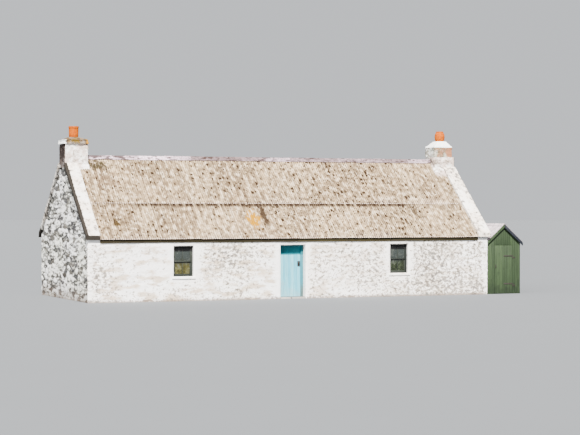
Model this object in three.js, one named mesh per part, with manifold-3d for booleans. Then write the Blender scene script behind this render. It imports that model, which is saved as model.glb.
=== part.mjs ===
// A single-storey stone croft cottage: limewashed rubble walls, a roof of corrugated sheets between
// raised skews, a chimney on each gable and a small boarded outhouse against the right gable.
// Units are millimetres, +X runs along the front from left to right, +Y goes to the back, +Z is up.
// The origin is the middle of the four cottage walls, at ground level.

import * as THREE from "three";
import { mergeVertices } from "three/addons/utils/BufferGeometryUtils.js";
import Module from "manifold-3d";

const wasm = await Module();
wasm.setup();

// Walls
const LENGTH = 14800; // over the outer faces of the gables
const DEPTH = 6000; // over the outer faces of the front and back walls
const WALL_HEAD = 2060; // top of the front and back walls
const WALL = 620; // thickness of the front and back walls
const GABLE = 800; // thickness of a gable
const FLOOR = 50;
const SEAT = 0.3; // the hairline between pieces that bear on each other
const SAME_POINT = 1e-3; // corners closer than this are one corner
const ROUND_SIDES = 24; // sides of a turned piece

// Roof covering, measured down the slope from the ridge and down into the roof from its top face
const RIDGE = 4860; // top of the sheets
const PITCH = THREE.MathUtils.degToRad(42);
const LAP_LINE = 2410; // lower edge of the upper course
const EAVES_LINE = 4170; // lower edge of the lower course
const SHEET_STEP = 8; // how far the upper course stands above the lower one
const DECK = 32; // from the top of the upper course to what carries the sheets
const EAVES_BOARD = 26; // thickness of the board under the lowest sheets
const EAVES_BOARD_FOOT = 1935;
const CAP_WING = 190;
const CAP_THICKNESS = 12;
const CAP_ROLL = 45; // radius of the roll along the ridge

// Roof timbers
const COUPLE_SPACING = 2700;
const COUPLES = [-1.5, -0.5, 0.5, 1.5];
const COUPLE_WIDTH = 65;
const RAFTER = 110;
const RAFTER_TOE = 2920; // how far the rafters reach out over the wall head
const COLLAR = 3000; // underside of the collar
const COLLAR_DEPTH = 110;
const PURLIN = 60;
const PURLIN_WIDTH = 90;
const RIDGE_TREE_WING = 120;
const LAP_BEARING = 70; // how far the lap purlin starts above the lap line
const PURLINS = { lap: LAP_LINE - LAP_BEARING, eaves: 3820 };

// Skews, the raised copings of the gables
const SKEW_WIDTH = 500;
const SKEW_OVERHANG = 75; // beyond the outer face of the gable
const SKEW_RISE = 95; // above the sheets
const SKEW_END = 80; // beyond the face of the front or back wall

// Chimneys
const STACK_PROUD = 50; // how far a stack stands out over the outer face of its gable
const STACK_WIDTH = GABLE + STACK_PROUD;
const FLUE = 230;
const FLUE_SHAFT = 350; // how far the open shaft goes down into a stack
const HAUNCH_TOP = 185; // half the width of the mortar around the foot of a pot
const POT_HEIGHT = 370;
const POT_CLAY = 30;
const LEFT_CHIMNEY = {
  side: "left",
  depth: 780, // front to back
  top: 5260,
  cope: { inner: 10, outer: 30, front: 50, thickness: 135, haunch: 100 },
  // The outside of the pot from foot to mouth, as the radius and the part of its height
  pot: [
    [155, 0],
    [167, 0.3],
    [167, 0.7],
    [175, 0.88],
    [175, 1],
  ],
};
const RIGHT_CHIMNEY = {
  side: "right",
  depth: 800,
  top: 4970,
  cope: { inner: 0, outer: -85, front: 0, thickness: 395, haunch: 200 },
  pot: [
    [150, 0],
    [182, 0.2],
    [190, 0.45],
    [180, 0.7],
    [140, 0.9],
    [135, 1],
  ],
};

// Openings in the walls
const OPENING_HEAD = 1830; // underside of every lintel
const DOOR_LEFT = -630;
const DOOR_WIDTH = 930;
const WINDOW_SILL = 800;
const WINDOW_WIDTH = 700;
const WINDOWS = { front_left: -4450, front_right: 3505, back: -350 };
const WINDOW_SETBACK = 115; // from the wall face to the face of the window frame
const WINDOW_FRAME = 50;
const WINDOW_FRAME_DEPTH = 90;
const PANE = 6;

// Front door
const DOOR_SETBACK = 240; // from the wall face to the face of the door frame
const POST = 90; // width of a post where it stops the leaf
const HEAD = 70; // the same of the head
const STOP_DEPTH = 45;
const REBATE = 15; // how far the leaf is let in behind the stop
const REBATE_DEPTH = 45;
const LEAF = 40;
const LEAF_GAP = 6;
const LEAF_FOOT = 12; // above the floor in the doorway
const STRAP = 10; // thickness of a hinge strap
const STRAP_WIDTH = 45;
const DOOR_STRAP = 420; // reach of a strap over the leaf
const FRAME_STRAP = 45; // reach of a strap over a post
const KNUCKLE = 9; // radius of a hinge knuckle
const KNUCKLE_LENGTH = 60;
const KNUCKLE_SIDES = 16;
const HINGE_HEIGHTS = [420, 1450];
const LATCH_HEIGHT = 1200;
const LATCH_IN = 60; // from the post to the middle of the latch
const LATCH_PROFILE = [
  [0, 0],
  [38, 0],
  [38, 8],
  [18, 12],
  [18, 24],
  [30, 32],
  [30, 42],
  [20, 48],
  [0, 48],
];

// Outhouse
const SHED_WIDTH = 1370;
const SHED_FRONT = -2900;
const SHED_DEPTH = 2300;
const SHED_WALL = 55;
const SHED_RIDGE = 2520;
const SHED_PITCH = THREE.MathUtils.degToRad(41);
const SHED_SHEET = 22;
const SHED_EAVES = 75; // overhang of the roof at the right wall
const SHED_VERGE = 80; // overhang at the front and back
const SHED_DOOR = 740;
const SHED_DOOR_HEAD = 1750;
const SHED_LEAF = 34;
const SHED_HINGE_HEIGHTS = [330, 1330];
const SHED_STRAP = 370; // reach of a strap over the outhouse door
const SHED_FRAME_STRAP = 110; // reach of a strap over the boards beside it

// Lines that follow from the driving sizes
const FRONT = -DEPTH / 2;
const LEFT = -LENGTH / 2;
const RIGHT = LENGTH / 2;
const ROOM_LEFT = LEFT + GABLE;
const ROOM_RIGHT = RIGHT - GABLE;
const SKEW_LEFT = LEFT - SKEW_OVERHANG + SKEW_WIDTH; // inner edge of the left skews
const SKEW_RIGHT = RIGHT + SKEW_OVERHANG - SKEW_WIDTH;
const DOOR_RIGHT = DOOR_LEFT + DOOR_WIDTH;
const FRAME_FACE = FRONT + DOOR_SETBACK;
const FRAME_BACK = FRAME_FACE + STOP_DEPTH + REBATE_DEPTH;
const SHED_LEFT = RIGHT + SEAT;
const SHED_RIGHT = SHED_LEFT + SHED_WIDTH;
const SHED_MIDDLE = (RIGHT + SHED_RIGHT) / 2;
const SHED_BACK = SHED_FRONT + SHED_DEPTH;

// Height of the cottage roof at a distance from the ridge, some depth below the top of the sheets
function roofAt(out, below) {
  return RIDGE - out * Math.tan(PITCH) - below / Math.cos(PITCH);
}

// The same for the outhouse
function shedRoofAt(out, below) {
  return SHED_RIDGE - out * Math.tan(SHED_PITCH) - below / Math.cos(SHED_PITCH);
}

// A point of the cottage roof's section, as the distance from the ridge and the height
function onSlope(down, below) {
  return [
    down * Math.cos(PITCH) - below * Math.sin(PITCH),
    RIDGE - down * Math.sin(PITCH) - below * Math.cos(PITCH),
  ];
}

// Materials
function finish(color, roughness, metalness = 0) {
  return new THREE.MeshStandardMaterial({ color, roughness, metalness });
}

const limewash = finish(0xe6e3dc, 0.95);
const bareRubble = finish(0xa9a8a2, 0.95);
const skewPaint = finish(0xf0eee9, 0.85);
const copeStone = finish(0xb9ae93, 0.95);
const terracotta = finish(0xd9703a, 0.8);
const roofSheet = finish(0xc3b8ab, 0.9);
const ridgeSheet = finish(0xbfb2b4, 0.9);
const doorBlue = finish(0x9cc9d6, 0.6);
const frameTeal = finish(0x3f9aa3, 0.6);
const sashPaint = finish(0x3c443d, 0.6);
const paneGlass = finish(0x3f4a4a, 0.1);
const iron = finish(0x4a2c22, 0.7, 0.6);
const flagstone = finish(0x8c887f, 0.9);
const timber = finish(0x6b5a48, 0.85);
const shedPaint = finish(0x5f7f62, 0.75);
const shedSheet = finish(0xb9b7c0, 0.6, 0.3);

// Turns a shape drawn as (x, z) so that its thickness runs towards the front
const ELEVATION = new THREE.Quaternion().setFromAxisAngle(
  new THREE.Vector3(1, 0, 0),
  Math.PI / 2,
);

// Turns a shape drawn as (y, z) so that its thickness runs to the right
const SECTION = new THREE.Quaternion().setFromRotationMatrix(
  new THREE.Matrix4().makeBasis(
    new THREE.Vector3(0, 1, 0),
    new THREE.Vector3(0, 0, 1),
    new THREE.Vector3(1, 0, 0),
  ),
);

function outline(points) {
  return new THREE.Shape(points.map(([a, b]) => new THREE.Vector2(a, b)));
}

function corners(left, bottom, right, top) {
  return [
    [left, bottom],
    [right, bottom],
    [right, top],
    [left, top],
  ];
}

function withHole(shape, left, bottom, right, top) {
  const points = corners(left, bottom, right, top).reverse();
  shape.holes.push(new THREE.Path(points.map(([a, b]) => new THREE.Vector2(a, b))));
  return shape;
}

function extruded(shape, depth) {
  return new THREE.ExtrudeGeometry(shape, { depth, bevelEnabled: false, steps: 1 });
}

function named(name, geometry, material) {
  const mesh = new THREE.Mesh(geometry, material);
  mesh.name = name;
  return mesh;
}

// A piece drawn in elevation, from its front face back through its thickness
function slab(name, shape, front, thickness, material) {
  const mesh = named(name, extruded(shape, thickness), material);
  mesh.quaternion.copy(ELEVATION);
  mesh.position.y = front + thickness;
  return mesh;
}

// A piece drawn in section, from its left end along its length
function bar(name, shape, left, length, material) {
  const mesh = named(name, extruded(shape, length), material);
  mesh.quaternion.copy(SECTION);
  mesh.position.x = left;
  return mesh;
}

function box(name, low, high, material) {
  const size = high.map((value, i) => value - low[i]);
  const mesh = named(name, new THREE.BoxGeometry(...size), material);
  mesh.position.set(...low.map((value, i) => value + size[i] / 2));
  return mesh;
}

function upright(radius, length, x, y, foot) {
  const mesh = named("knuckle", new THREE.CylinderGeometry(radius, radius, length, KNUCKLE_SIDES), iron);
  mesh.rotation.x = Math.PI / 2;
  mesh.position.set(x, y, foot + length / 2);
  return mesh;
}

// A mesh's shape where it stands, as a solid that can be joined and cut
function solidOf(mesh) {
  mesh.updateMatrix();
  const loose = mesh.geometry.clone().applyMatrix4(mesh.matrix);
  loose.deleteAttribute("normal");
  loose.deleteAttribute("uv");
  const closed = mergeVertices(loose, SAME_POINT);
  return new wasm.Manifold(
    new wasm.Mesh({
      numProp: 3,
      vertProperties: closed.attributes.position.array,
      triVerts: new Uint32Array(closed.index.array),
    }),
  );
}

function meshOf(solid, like) {
  const made = solid.getMesh();
  const geometry = new THREE.BufferGeometry();
  geometry.setAttribute("position", new THREE.BufferAttribute(made.vertProperties, 3));
  geometry.setIndex(new THREE.BufferAttribute(made.triVerts, 1));
  geometry.computeVertexNormals();
  return named(like.name, geometry, like.material);
}

function cut(mesh, ...tools) {
  const start = solidOf(mesh);
  return meshOf(tools.reduce((solid, tool) => solid.subtract(solidOf(tool)), start), mesh);
}

function joined(mesh, ...others) {
  const start = solidOf(mesh);
  return meshOf(others.reduce((solid, other) => solid.add(solidOf(other)), start), mesh);
}

function group(...members) {
  return new THREE.Group().add(...members);
}

// The front wall stands in two lengths, each with a window, and has its lintel over the doorway
function frontWall() {
  const windowIn = (shape, left) =>
    withHole(shape, left, WINDOW_SILL, left + WINDOW_WIDTH, OPENING_HEAD);
  const leftLength = outline(corners(ROOM_LEFT + SEAT, 0, DOOR_LEFT, WALL_HEAD));
  const rightLength = outline(corners(DOOR_RIGHT, 0, ROOM_RIGHT - SEAT, WALL_HEAD));
  const lintel = corners(DOOR_LEFT + SEAT, OPENING_HEAD, DOOR_RIGHT - SEAT, WALL_HEAD);
  windowIn(leftLength, WINDOWS.front_left);
  windowIn(rightLength, WINDOWS.front_right);
  return group(
    slab("front_wall_left", leftLength, FRONT, WALL, limewash),
    slab("front_wall_right", rightLength, FRONT, WALL, limewash),
    slab("front_wall_over_door", outline(lintel), FRONT, WALL, limewash),
  );
}

function backWall() {
  const shape = outline(corners(ROOM_LEFT + SEAT, 0, ROOM_RIGHT - SEAT, WALL_HEAD));
  withHole(shape, WINDOWS.back, WINDOW_SILL, WINDOWS.back + WINDOW_WIDTH, OPENING_HEAD);
  return slab("back_wall", shape, -FRONT - WALL, WALL, limewash);
}

// A gable stands the full depth of the cottage, and is levelled off under its chimney stack
function gableWall(chimney, left, material) {
  const half = chimney.depth / 2;
  const shoulder = roofAt(-FRONT, DECK) - SEAT;
  const table = roofAt(half, DECK) - SEAT;
  const shape = outline([
    [FRONT, 0],
    [-FRONT, 0],
    [-FRONT, shoulder],
    [half, table],
    [-half, table],
    [FRONT, shoulder],
  ]);
  return bar(chimney.side + "_gable_wall", shape, left, GABLE, material);
}

// The skews of one gable run from the eaves, front and back, up to the chimney stack
function skews(chimney, left) {
  const low = -FRONT + SKEW_END;
  const high = chimney.depth / 2 + SEAT;
  const profile = [
    [low, roofAt(low, DECK)],
    [high, roofAt(high, DECK)],
    [high, roofAt(high, -SKEW_RISE)],
    [low, roofAt(low, -SKEW_RISE)],
  ];
  const front = profile.map(([out, z]) => [-out, z]);
  const name = chimney.side + "_skew_";
  return group(
    bar(name + "front", outline(front), left, SKEW_WIDTH, skewPaint),
    bar(name + "back", outline(profile), left, SKEW_WIDTH, skewPaint),
  );
}

// A stack stands over the full thickness of its gable, with an open shaft down from its top
function chimneyStack(chimney, left) {
  const half = chimney.depth / 2;
  const middle = left + STACK_WIDTH / 2;
  const low = [left, -half, roofAt(half, DECK)];
  const high = [left + STACK_WIDTH, half, chimney.top];
  const body = box(chimney.side + "_chimney_stack", low, high, skewPaint);
  const shaft = box(
    "shaft",
    [middle - FLUE / 2, -FLUE / 2, chimney.top - FLUE_SHAFT],
    [middle + FLUE / 2, FLUE / 2, chimney.top + FLUE],
    skewPaint,
  );
  return cut(body, shaft);
}

// A slab with a hipped haunching of mortar on it, as rings of four corners from bottom to top
function hippedSlab(name, layers, material) {
  const points = layers.flatMap(([left, right, half, z]) => [
    [left, -half, z],
    [right, -half, z],
    [right, half, z],
    [left, half, z],
  ]);
  const last = points.length - 4;
  const quads = [[0, 3, 2, 1], [last, last + 1, last + 2, last + 3]];
  for (let base = 0; base < last; base += 4) {
    for (let i = 0; i < 4; i++) {
      const next = base + ((i + 1) % 4);
      quads.push([base + i, next, next + 4, base + i + 4]);
    }
  }
  const geometry = new THREE.BufferGeometry();
  geometry.setAttribute("position", new THREE.Float32BufferAttribute(points.flat(), 3));
  geometry.setIndex(quads.flatMap(([a, b, c, d]) => [a, b, c, a, c, d]));
  return named(name, geometry, material);
}

function chimneyCope(chimney, left, inward) {
  const { inner, outer, front, thickness, haunch } = chimney.cope;
  const right = left + STACK_WIDTH + (inward > 0 ? inner : outer);
  const start = left - (inward > 0 ? outer : inner);
  const half = chimney.depth / 2 + front;
  const low = chimney.top + SEAT;
  const middle = left + STACK_WIDTH / 2;
  const body = hippedSlab(
    chimney.side + "_chimney_cope",
    [
      [start, right, half, low],
      [start, right, half, low + thickness],
      [middle - HAUNCH_TOP, middle + HAUNCH_TOP, HAUNCH_TOP, low + thickness + haunch],
    ],
    copeStone,
  );
  const bore = box(
    "bore",
    [middle - FLUE / 2, -FLUE / 2, low - FLUE],
    [middle + FLUE / 2, FLUE / 2, low + thickness + haunch + FLUE],
    copeStone,
  );
  return cut(body, bore);
}

// A pot is a turned clay tube
function chimneyPot(chimney, left) {
  const { thickness, haunch } = chimney.cope;
  const outside = chimney.pot.map(([radius, part]) => [radius, part * POT_HEIGHT]);
  const inside = outside.map(([radius, z]) => [radius - POT_CLAY, z]).reverse();
  const profile = [...outside, ...inside, outside[0]];
  const mesh = named(
    chimney.side + "_chimney_pot",
    new THREE.LatheGeometry(profile.map(([r, z]) => new THREE.Vector2(r, z)), ROUND_SIDES),
    terracotta,
  );
  mesh.rotation.x = Math.PI / 2;
  mesh.position.set(left + STACK_WIDTH / 2, 0, chimney.top + thickness + haunch + 2 * SEAT);
  return mesh;
}

// inward is +1 on the left gable and -1 on the right one
function chimney(spec, left, inward) {
  return group(
    chimneyStack(spec, left),
    chimneyCope(spec, left, inward),
    chimneyPot(spec, left),
  );
}

// The space that a stack takes out of the roof covering
function stackNotch(spec, left) {
  const half = spec.depth / 2 + SEAT;
  const right = left + STACK_WIDTH + SEAT;
  return box("notch", [left - SEAT, -half, 0], [right, half, spec.top], roofSheet);
}

// The sheets of one side, in an upper and a lower course with the step of the lap between them
function roofSide(side, sign) {
  const left = SKEW_LEFT + SEAT;
  const length = SKEW_RIGHT - SEAT - left;
  const faced = (points) => outline(points.map(([out, z]) => [sign * out, z]));
  const upper = faced([
    [SEAT / 2, roofAt(SEAT / 2, 0)],
    onSlope(LAP_LINE, 0),
    onSlope(LAP_LINE, DECK),
    [SEAT / 2, roofAt(SEAT / 2, DECK)],
  ]);
  const lower = faced([
    onSlope(LAP_LINE + SEAT, SHEET_STEP),
    onSlope(EAVES_LINE, SHEET_STEP),
    onSlope(EAVES_LINE, DECK),
    onSlope(LAP_LINE + SEAT, DECK),
  ]);
  return group(
    cut(
      bar(side + "_roof_upper_sheets", upper, left, length, roofSheet),
      stackNotch(LEFT_CHIMNEY, LEFT - STACK_PROUD),
      stackNotch(RIGHT_CHIMNEY, ROOM_RIGHT),
    ),
    bar(side + "_roof_lower_sheets", lower, left, length, roofSheet),
  );
}

// A board under the lowest sheets, against the head of the front or back wall
function eavesBoard(side, sign) {
  const inner = -FRONT + SEAT;
  const outer = inner + EAVES_BOARD;
  const section = corners(inner, EAVES_BOARD_FOOT, outer, roofAt(outer, DECK) - SEAT);
  const shape = outline(section.map(([out, z]) => [sign * out, z]));
  const left = SKEW_LEFT + SEAT;
  return bar(side + "_eaves_board", shape, left, SKEW_RIGHT - SEAT - left, timber);
}

// The capping has a wing down each side of the ridge and a half-round roll along its top
function ridgeCapping() {
  const wing = CAP_WING * Math.cos(PITCH);
  const top = roofAt(0, -SEAT - CAP_THICKNESS);
  const roll = new THREE.Shape();
  roll.moveTo(wing, roofAt(wing, -SEAT));
  roll.lineTo(wing, roofAt(wing, -SEAT - CAP_THICKNESS));
  roll.lineTo(CAP_ROLL, roofAt(CAP_ROLL, -SEAT - CAP_THICKNESS));
  roll.absarc(0, top - CAP_ROLL * Math.tan(PITCH), CAP_ROLL, 0, Math.PI, false);
  roll.lineTo(-CAP_ROLL, roofAt(CAP_ROLL, -SEAT - CAP_THICKNESS));
  roll.lineTo(-wing, roofAt(wing, -SEAT - CAP_THICKNESS));
  roll.lineTo(-wing, roofAt(wing, -SEAT));
  roll.lineTo(0, roofAt(0, -SEAT));
  roll.closePath();
  const left = ROOM_LEFT + SEAT;
  return bar("ridge_capping", roll, left, ROOM_RIGHT - SEAT - left, ridgeSheet);
}

// A couple is a pair of rafters with a collar, bearing on the heads of both walls
function couple(number, x) {
  const upperFace = DECK + PURLIN + SEAT;
  const underside = upperFace + RAFTER;
  const foot = WALL_HEAD + SEAT;
  const outAt = (z) => (roofAt(0, underside) - z) / Math.tan(PITCH);
  const half = [
    [outAt(COLLAR), COLLAR],
    [outAt(foot), foot],
    [RAFTER_TOE, foot],
    [RAFTER_TOE, roofAt(RAFTER_TOE, upperFace)],
  ];
  const mirrored = half.map(([out, z]) => [-out, z]).reverse();
  const shape = outline([...half, [0, roofAt(0, upperFace)], ...mirrored]);
  const top = COLLAR + COLLAR_DEPTH;
  const loft = [
    [-outAt(top), top],
    [0, roofAt(0, underside)],
    [outAt(top), top],
  ];
  shape.holes.push(new THREE.Path(loft.map(([out, z]) => new THREE.Vector2(out, z))));
  return bar("roof_couple_" + number, shape, x - COUPLE_WIDTH / 2, COUPLE_WIDTH, timber);
}

function couples() {
  return group(...COUPLES.map((place, i) => couple(i + 1, place * COUPLE_SPACING)));
}

// Purlins run over the couples from gable to gable, with the ridge tree along their peaks
function purlins() {
  const left = ROOM_LEFT + SEAT;
  const length = ROOM_RIGHT - SEAT - left;
  const made = [];
  for (const [side, sign] of [["front", -1], ["back", 1]]) {
    for (const [place, down] of Object.entries(PURLINS)) {
      const points = [
        onSlope(down, DECK + SEAT),
        onSlope(down + PURLIN_WIDTH, DECK + SEAT),
        onSlope(down + PURLIN_WIDTH, DECK + PURLIN),
        onSlope(down, DECK + PURLIN),
      ].map(([out, z]) => [sign * out, z]);
      made.push(bar(side + "_" + place + "_purlin", outline(points), left, length, timber));
    }
  }
  const wing = RIDGE_TREE_WING;
  const chevron = outline([
    [0, roofAt(0, DECK + SEAT)],
    [-wing, roofAt(wing, DECK + SEAT)],
    [-wing, roofAt(wing, DECK + PURLIN)],
    [0, roofAt(0, DECK + PURLIN)],
    [wing, roofAt(wing, DECK + PURLIN)],
    [wing, roofAt(wing, DECK + SEAT)],
  ]);
  return group(...made, bar("ridge_tree", chevron, left, length, timber));
}

// The floor fills the room between the walls, and runs out through the doorway as its step
function floor() {
  const room = FRONT + WALL;
  const shape = outline([
    [ROOM_LEFT + SEAT, room + SEAT],
    [DOOR_LEFT + SEAT, room + SEAT],
    [DOOR_LEFT + SEAT, FRONT],
    [DOOR_RIGHT - SEAT, FRONT],
    [DOOR_RIGHT - SEAT, room + SEAT],
    [ROOM_RIGHT - SEAT, room + SEAT],
    [ROOM_RIGHT - SEAT, -room - SEAT],
    [ROOM_LEFT + SEAT, -room - SEAT],
  ]);
  return named("floor", extruded(shape, FLOOR), flagstone);
}

// A knuckle and its strap; the strap lies on the face of a leaf or post, and reaches to one side
function hingeHalf(x, y, foot, face, reach) {
  const low = Math.min(face, y);
  const high = Math.max(face, y);
  const middle = foot + KNUCKLE_LENGTH / 2;
  const strap = box(
    "strap",
    [Math.min(x, x + reach), low, middle - STRAP_WIDTH / 2],
    [Math.max(x, x + reach), high, middle + STRAP_WIDTH / 2],
    iron,
  );
  return [upright(KNUCKLE, KNUCKLE_LENGTH, x, y, foot), strap];
}

// The frame stops the leaf on its outer side, and carries the lower knuckles on its inner side
function doorFrame(hinge) {
  const foot = FLOOR + SEAT;
  const left = DOOR_LEFT + SEAT;
  const right = DOOR_RIGHT - SEAT;
  const top = OPENING_HEAD - SEAT;
  const arch = (post, head) =>
    outline([
      [left, foot],
      [DOOR_LEFT + post, foot],
      [DOOR_LEFT + post, OPENING_HEAD - head],
      [DOOR_RIGHT - post, OPENING_HEAD - head],
      [DOOR_RIGHT - post, foot],
      [right, foot],
      [right, top],
      [left, top],
    ]);
  const stop = slab("door_frame", arch(POST, HEAD), FRAME_FACE, STOP_DEPTH, frameTeal);
  const rebated = slab(
    "rebate",
    arch(POST - REBATE, HEAD - REBATE),
    FRAME_FACE,
    STOP_DEPTH + REBATE_DEPTH,
    frameTeal,
  );
  const knuckles = HINGE_HEIGHTS.flatMap((z) =>
    hingeHalf(hinge.x, hinge.y, z - KNUCKLE_LENGTH - SEAT, FRAME_BACK - STRAP, -FRAME_STRAP),
  );
  return joined(stop, rebated, ...knuckles);
}

function doorLeaf(hinge) {
  const edge = POST - REBATE + LEAF_GAP;
  const face = FRAME_FACE + STOP_DEPTH + SEAT;
  const foot = FLOOR + LEAF_FOOT;
  const top = OPENING_HEAD - HEAD + REBATE - LEAF_GAP;
  const board = box(
    "door_leaf",
    [DOOR_LEFT + edge, face, foot],
    [DOOR_RIGHT - edge, face + LEAF, top],
    doorBlue,
  );
  const knuckles = HINGE_HEIGHTS.flatMap((z) =>
    hingeHalf(hinge.x, hinge.y, z, face + LEAF - STRAP, DOOR_STRAP),
  );
  return joined(board, ...knuckles);
}

// A round iron knob on a rose, on the outer face of the leaf
function doorLatch() {
  const points = LATCH_PROFILE.map(([radius, z]) => new THREE.Vector2(radius, z));
  const mesh = named("door_latch", new THREE.LatheGeometry(points, ROUND_SIDES), iron);
  mesh.position.set(
    DOOR_RIGHT - POST - LATCH_IN,
    FRAME_FACE + STOP_DEPTH,
    LATCH_HEIGHT,
  );
  mesh.rotation.x = Math.PI;
  return mesh;
}

function frontDoor() {
  const hinge = {
    x: DOOR_LEFT + POST - REBATE + LEAF_GAP / 2,
    y: FRAME_BACK + KNUCKLE + SEAT,
  };
  return group(doorFrame(hinge), doorLeaf(hinge), doorLatch());
}

// A window is a frame in its opening with one sheet of glass in the middle of its depth
function windowIn(name, left, face) {
  const low = [left + SEAT, WINDOW_SILL + SEAT];
  const high = [left + WINDOW_WIDTH - SEAT, OPENING_HEAD - SEAT];
  const inner = [low[0] + WINDOW_FRAME, low[1] + WINDOW_FRAME];
  const outer = [high[0] - WINDOW_FRAME, high[1] - WINDOW_FRAME];
  const ring = withHole(outline(corners(...low, ...high)), ...inner, ...outer);
  const pane = corners(inner[0] + SEAT, inner[1] + SEAT, outer[0] - SEAT, outer[1] - SEAT);
  const middle = face + WINDOW_FRAME_DEPTH / 2;
  return group(
    slab(name + "_window_frame", ring, face, WINDOW_FRAME_DEPTH, sashPaint),
    slab(name + "_window_glass", outline(pane), middle - PANE / 2, PANE, paneGlass),
  );
}

function windows() {
  const frontFace = FRONT + WINDOW_SETBACK;
  const backFace = -FRONT - WINDOW_SETBACK - WINDOW_FRAME_DEPTH;
  return group(
    windowIn("front_left", WINDOWS.front_left, frontFace),
    windowIn("front_right", WINDOWS.front_right, frontFace),
    windowIn("back", WINDOWS.back, backFace),
  );
}

function shedEnd(left, right) {
  const under = (x) => shedRoofAt(Math.abs(x - SHED_MIDDLE), SHED_SHEET) - SEAT;
  return [
    [right, 0],
    [right, under(right)],
    [SHED_MIDDLE, under(SHED_MIDDLE)],
    [left, under(left)],
    [left, 0],
  ];
}

// The outhouse's boarded front goes up beside and over its doorway
function shedFront(hinge, doorLeft, doorRight) {
  const doorway = [
    [doorLeft, 0],
    [doorLeft, SHED_DOOR_HEAD],
    [doorRight, SHED_DOOR_HEAD],
    [doorRight, 0],
  ];
  const shape = outline([...shedEnd(SHED_LEFT, SHED_RIGHT), ...doorway]);
  const knuckles = SHED_HINGE_HEIGHTS.flatMap((z) =>
    hingeHalf(hinge.x, hinge.y, z - KNUCKLE_LENGTH - SEAT, SHED_FRONT + STRAP, SHED_FRAME_STRAP),
  );
  return joined(slab("outhouse_front", shape, SHED_FRONT, SHED_WALL, shedPaint), ...knuckles);
}

function shedDoor(hinge, doorLeft, doorRight) {
  const board = box(
    "outhouse_door",
    [doorLeft + LEAF_GAP, SHED_FRONT, LEAF_FOOT],
    [doorRight - LEAF_GAP, SHED_FRONT + SHED_LEAF, SHED_DOOR_HEAD - LEAF_GAP],
    shedPaint,
  );
  const knuckles = SHED_HINGE_HEIGHTS.flatMap((z) =>
    hingeHalf(hinge.x, hinge.y, z, SHED_FRONT + STRAP, -SHED_STRAP),
  );
  return joined(board, ...knuckles);
}

function shedWalls() {
  const inFront = SHED_FRONT + SHED_WALL + SEAT;
  const inBack = SHED_BACK - SHED_WALL - SEAT;
  const height = shedRoofAt(SHED_RIGHT - SHED_MIDDLE, SHED_SHEET) - SEAT;
  const side = (name, left) =>
    box(name, [left, inFront, 0], [left + SHED_WALL, inBack, height], shedPaint);
  const back = outline(shedEnd(SHED_LEFT, SHED_RIGHT));
  return group(
    side("outhouse_left_wall", SHED_LEFT),
    side("outhouse_right_wall", SHED_RIGHT - SHED_WALL),
    slab("outhouse_back_wall", back, SHED_BACK - SHED_WALL, SHED_WALL, shedPaint),
  );
}

// Each roof slope is a slab; the left one stops at the cottage's gable
function shedRoof(name, direction, out) {
  const section = [
    [SEAT / 2, shedRoofAt(SEAT / 2, SHED_SHEET)],
    [out, shedRoofAt(out, SHED_SHEET)],
    [out, shedRoofAt(out, 0)],
    [SEAT / 2, shedRoofAt(SEAT / 2, 0)],
  ];
  const shape = outline(section.map(([x, z]) => [SHED_MIDDLE + direction * x, z]));
  return slab(name, shape, SHED_FRONT - SHED_VERGE, SHED_DEPTH + 2 * SHED_VERGE, shedSheet);
}

function outhouse() {
  const doorLeft = SHED_MIDDLE - SHED_DOOR / 2;
  const doorRight = doorLeft + SHED_DOOR;
  const hinge = { x: doorRight - LEAF_GAP / 2, y: SHED_FRONT - KNUCKLE - SEAT };
  return group(
    shedFront(hinge, doorLeft, doorRight),
    shedDoor(hinge, doorLeft, doorRight),
    shedWalls(),
    shedRoof("outhouse_roof_left", -1, SHED_MIDDLE - SHED_LEFT),
    shedRoof("outhouse_roof_right", 1, SHED_RIGHT + SHED_EAVES - SHED_MIDDLE),
  );
}

const cottage = group(
  frontWall(),
  backWall(),
  gableWall(LEFT_CHIMNEY, LEFT, bareRubble),
  gableWall(RIGHT_CHIMNEY, ROOM_RIGHT, bareRubble),
  skews(LEFT_CHIMNEY, LEFT - SKEW_OVERHANG),
  skews(RIGHT_CHIMNEY, SKEW_RIGHT),
  chimney(LEFT_CHIMNEY, LEFT - STACK_PROUD, 1),
  chimney(RIGHT_CHIMNEY, ROOM_RIGHT, -1),
  roofSide("front", -1),
  roofSide("back", 1),
  eavesBoard("front", -1),
  eavesBoard("back", 1),
  ridgeCapping(),
  couples(),
  purlins(),
  floor(),
  frontDoor(),
  windows(),
  outhouse(),
);

export default cottage;
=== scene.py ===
import math

import bmesh
import bpy
import numpy as np
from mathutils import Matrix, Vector


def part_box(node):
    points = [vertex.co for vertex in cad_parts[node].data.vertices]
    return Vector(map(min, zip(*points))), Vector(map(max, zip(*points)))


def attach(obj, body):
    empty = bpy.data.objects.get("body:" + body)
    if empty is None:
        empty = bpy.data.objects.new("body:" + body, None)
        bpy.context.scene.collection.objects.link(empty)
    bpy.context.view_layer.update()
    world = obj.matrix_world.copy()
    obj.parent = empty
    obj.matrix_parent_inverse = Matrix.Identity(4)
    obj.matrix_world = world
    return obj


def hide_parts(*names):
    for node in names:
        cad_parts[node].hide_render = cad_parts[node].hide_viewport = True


# The looks of a stone croft cottage: limewashed rubble, corrugated roof sheets, painted skews and
# chimneys, sash windows, a boarded door and a boarded outhouse. Metres, in the frame of the model.

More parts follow.
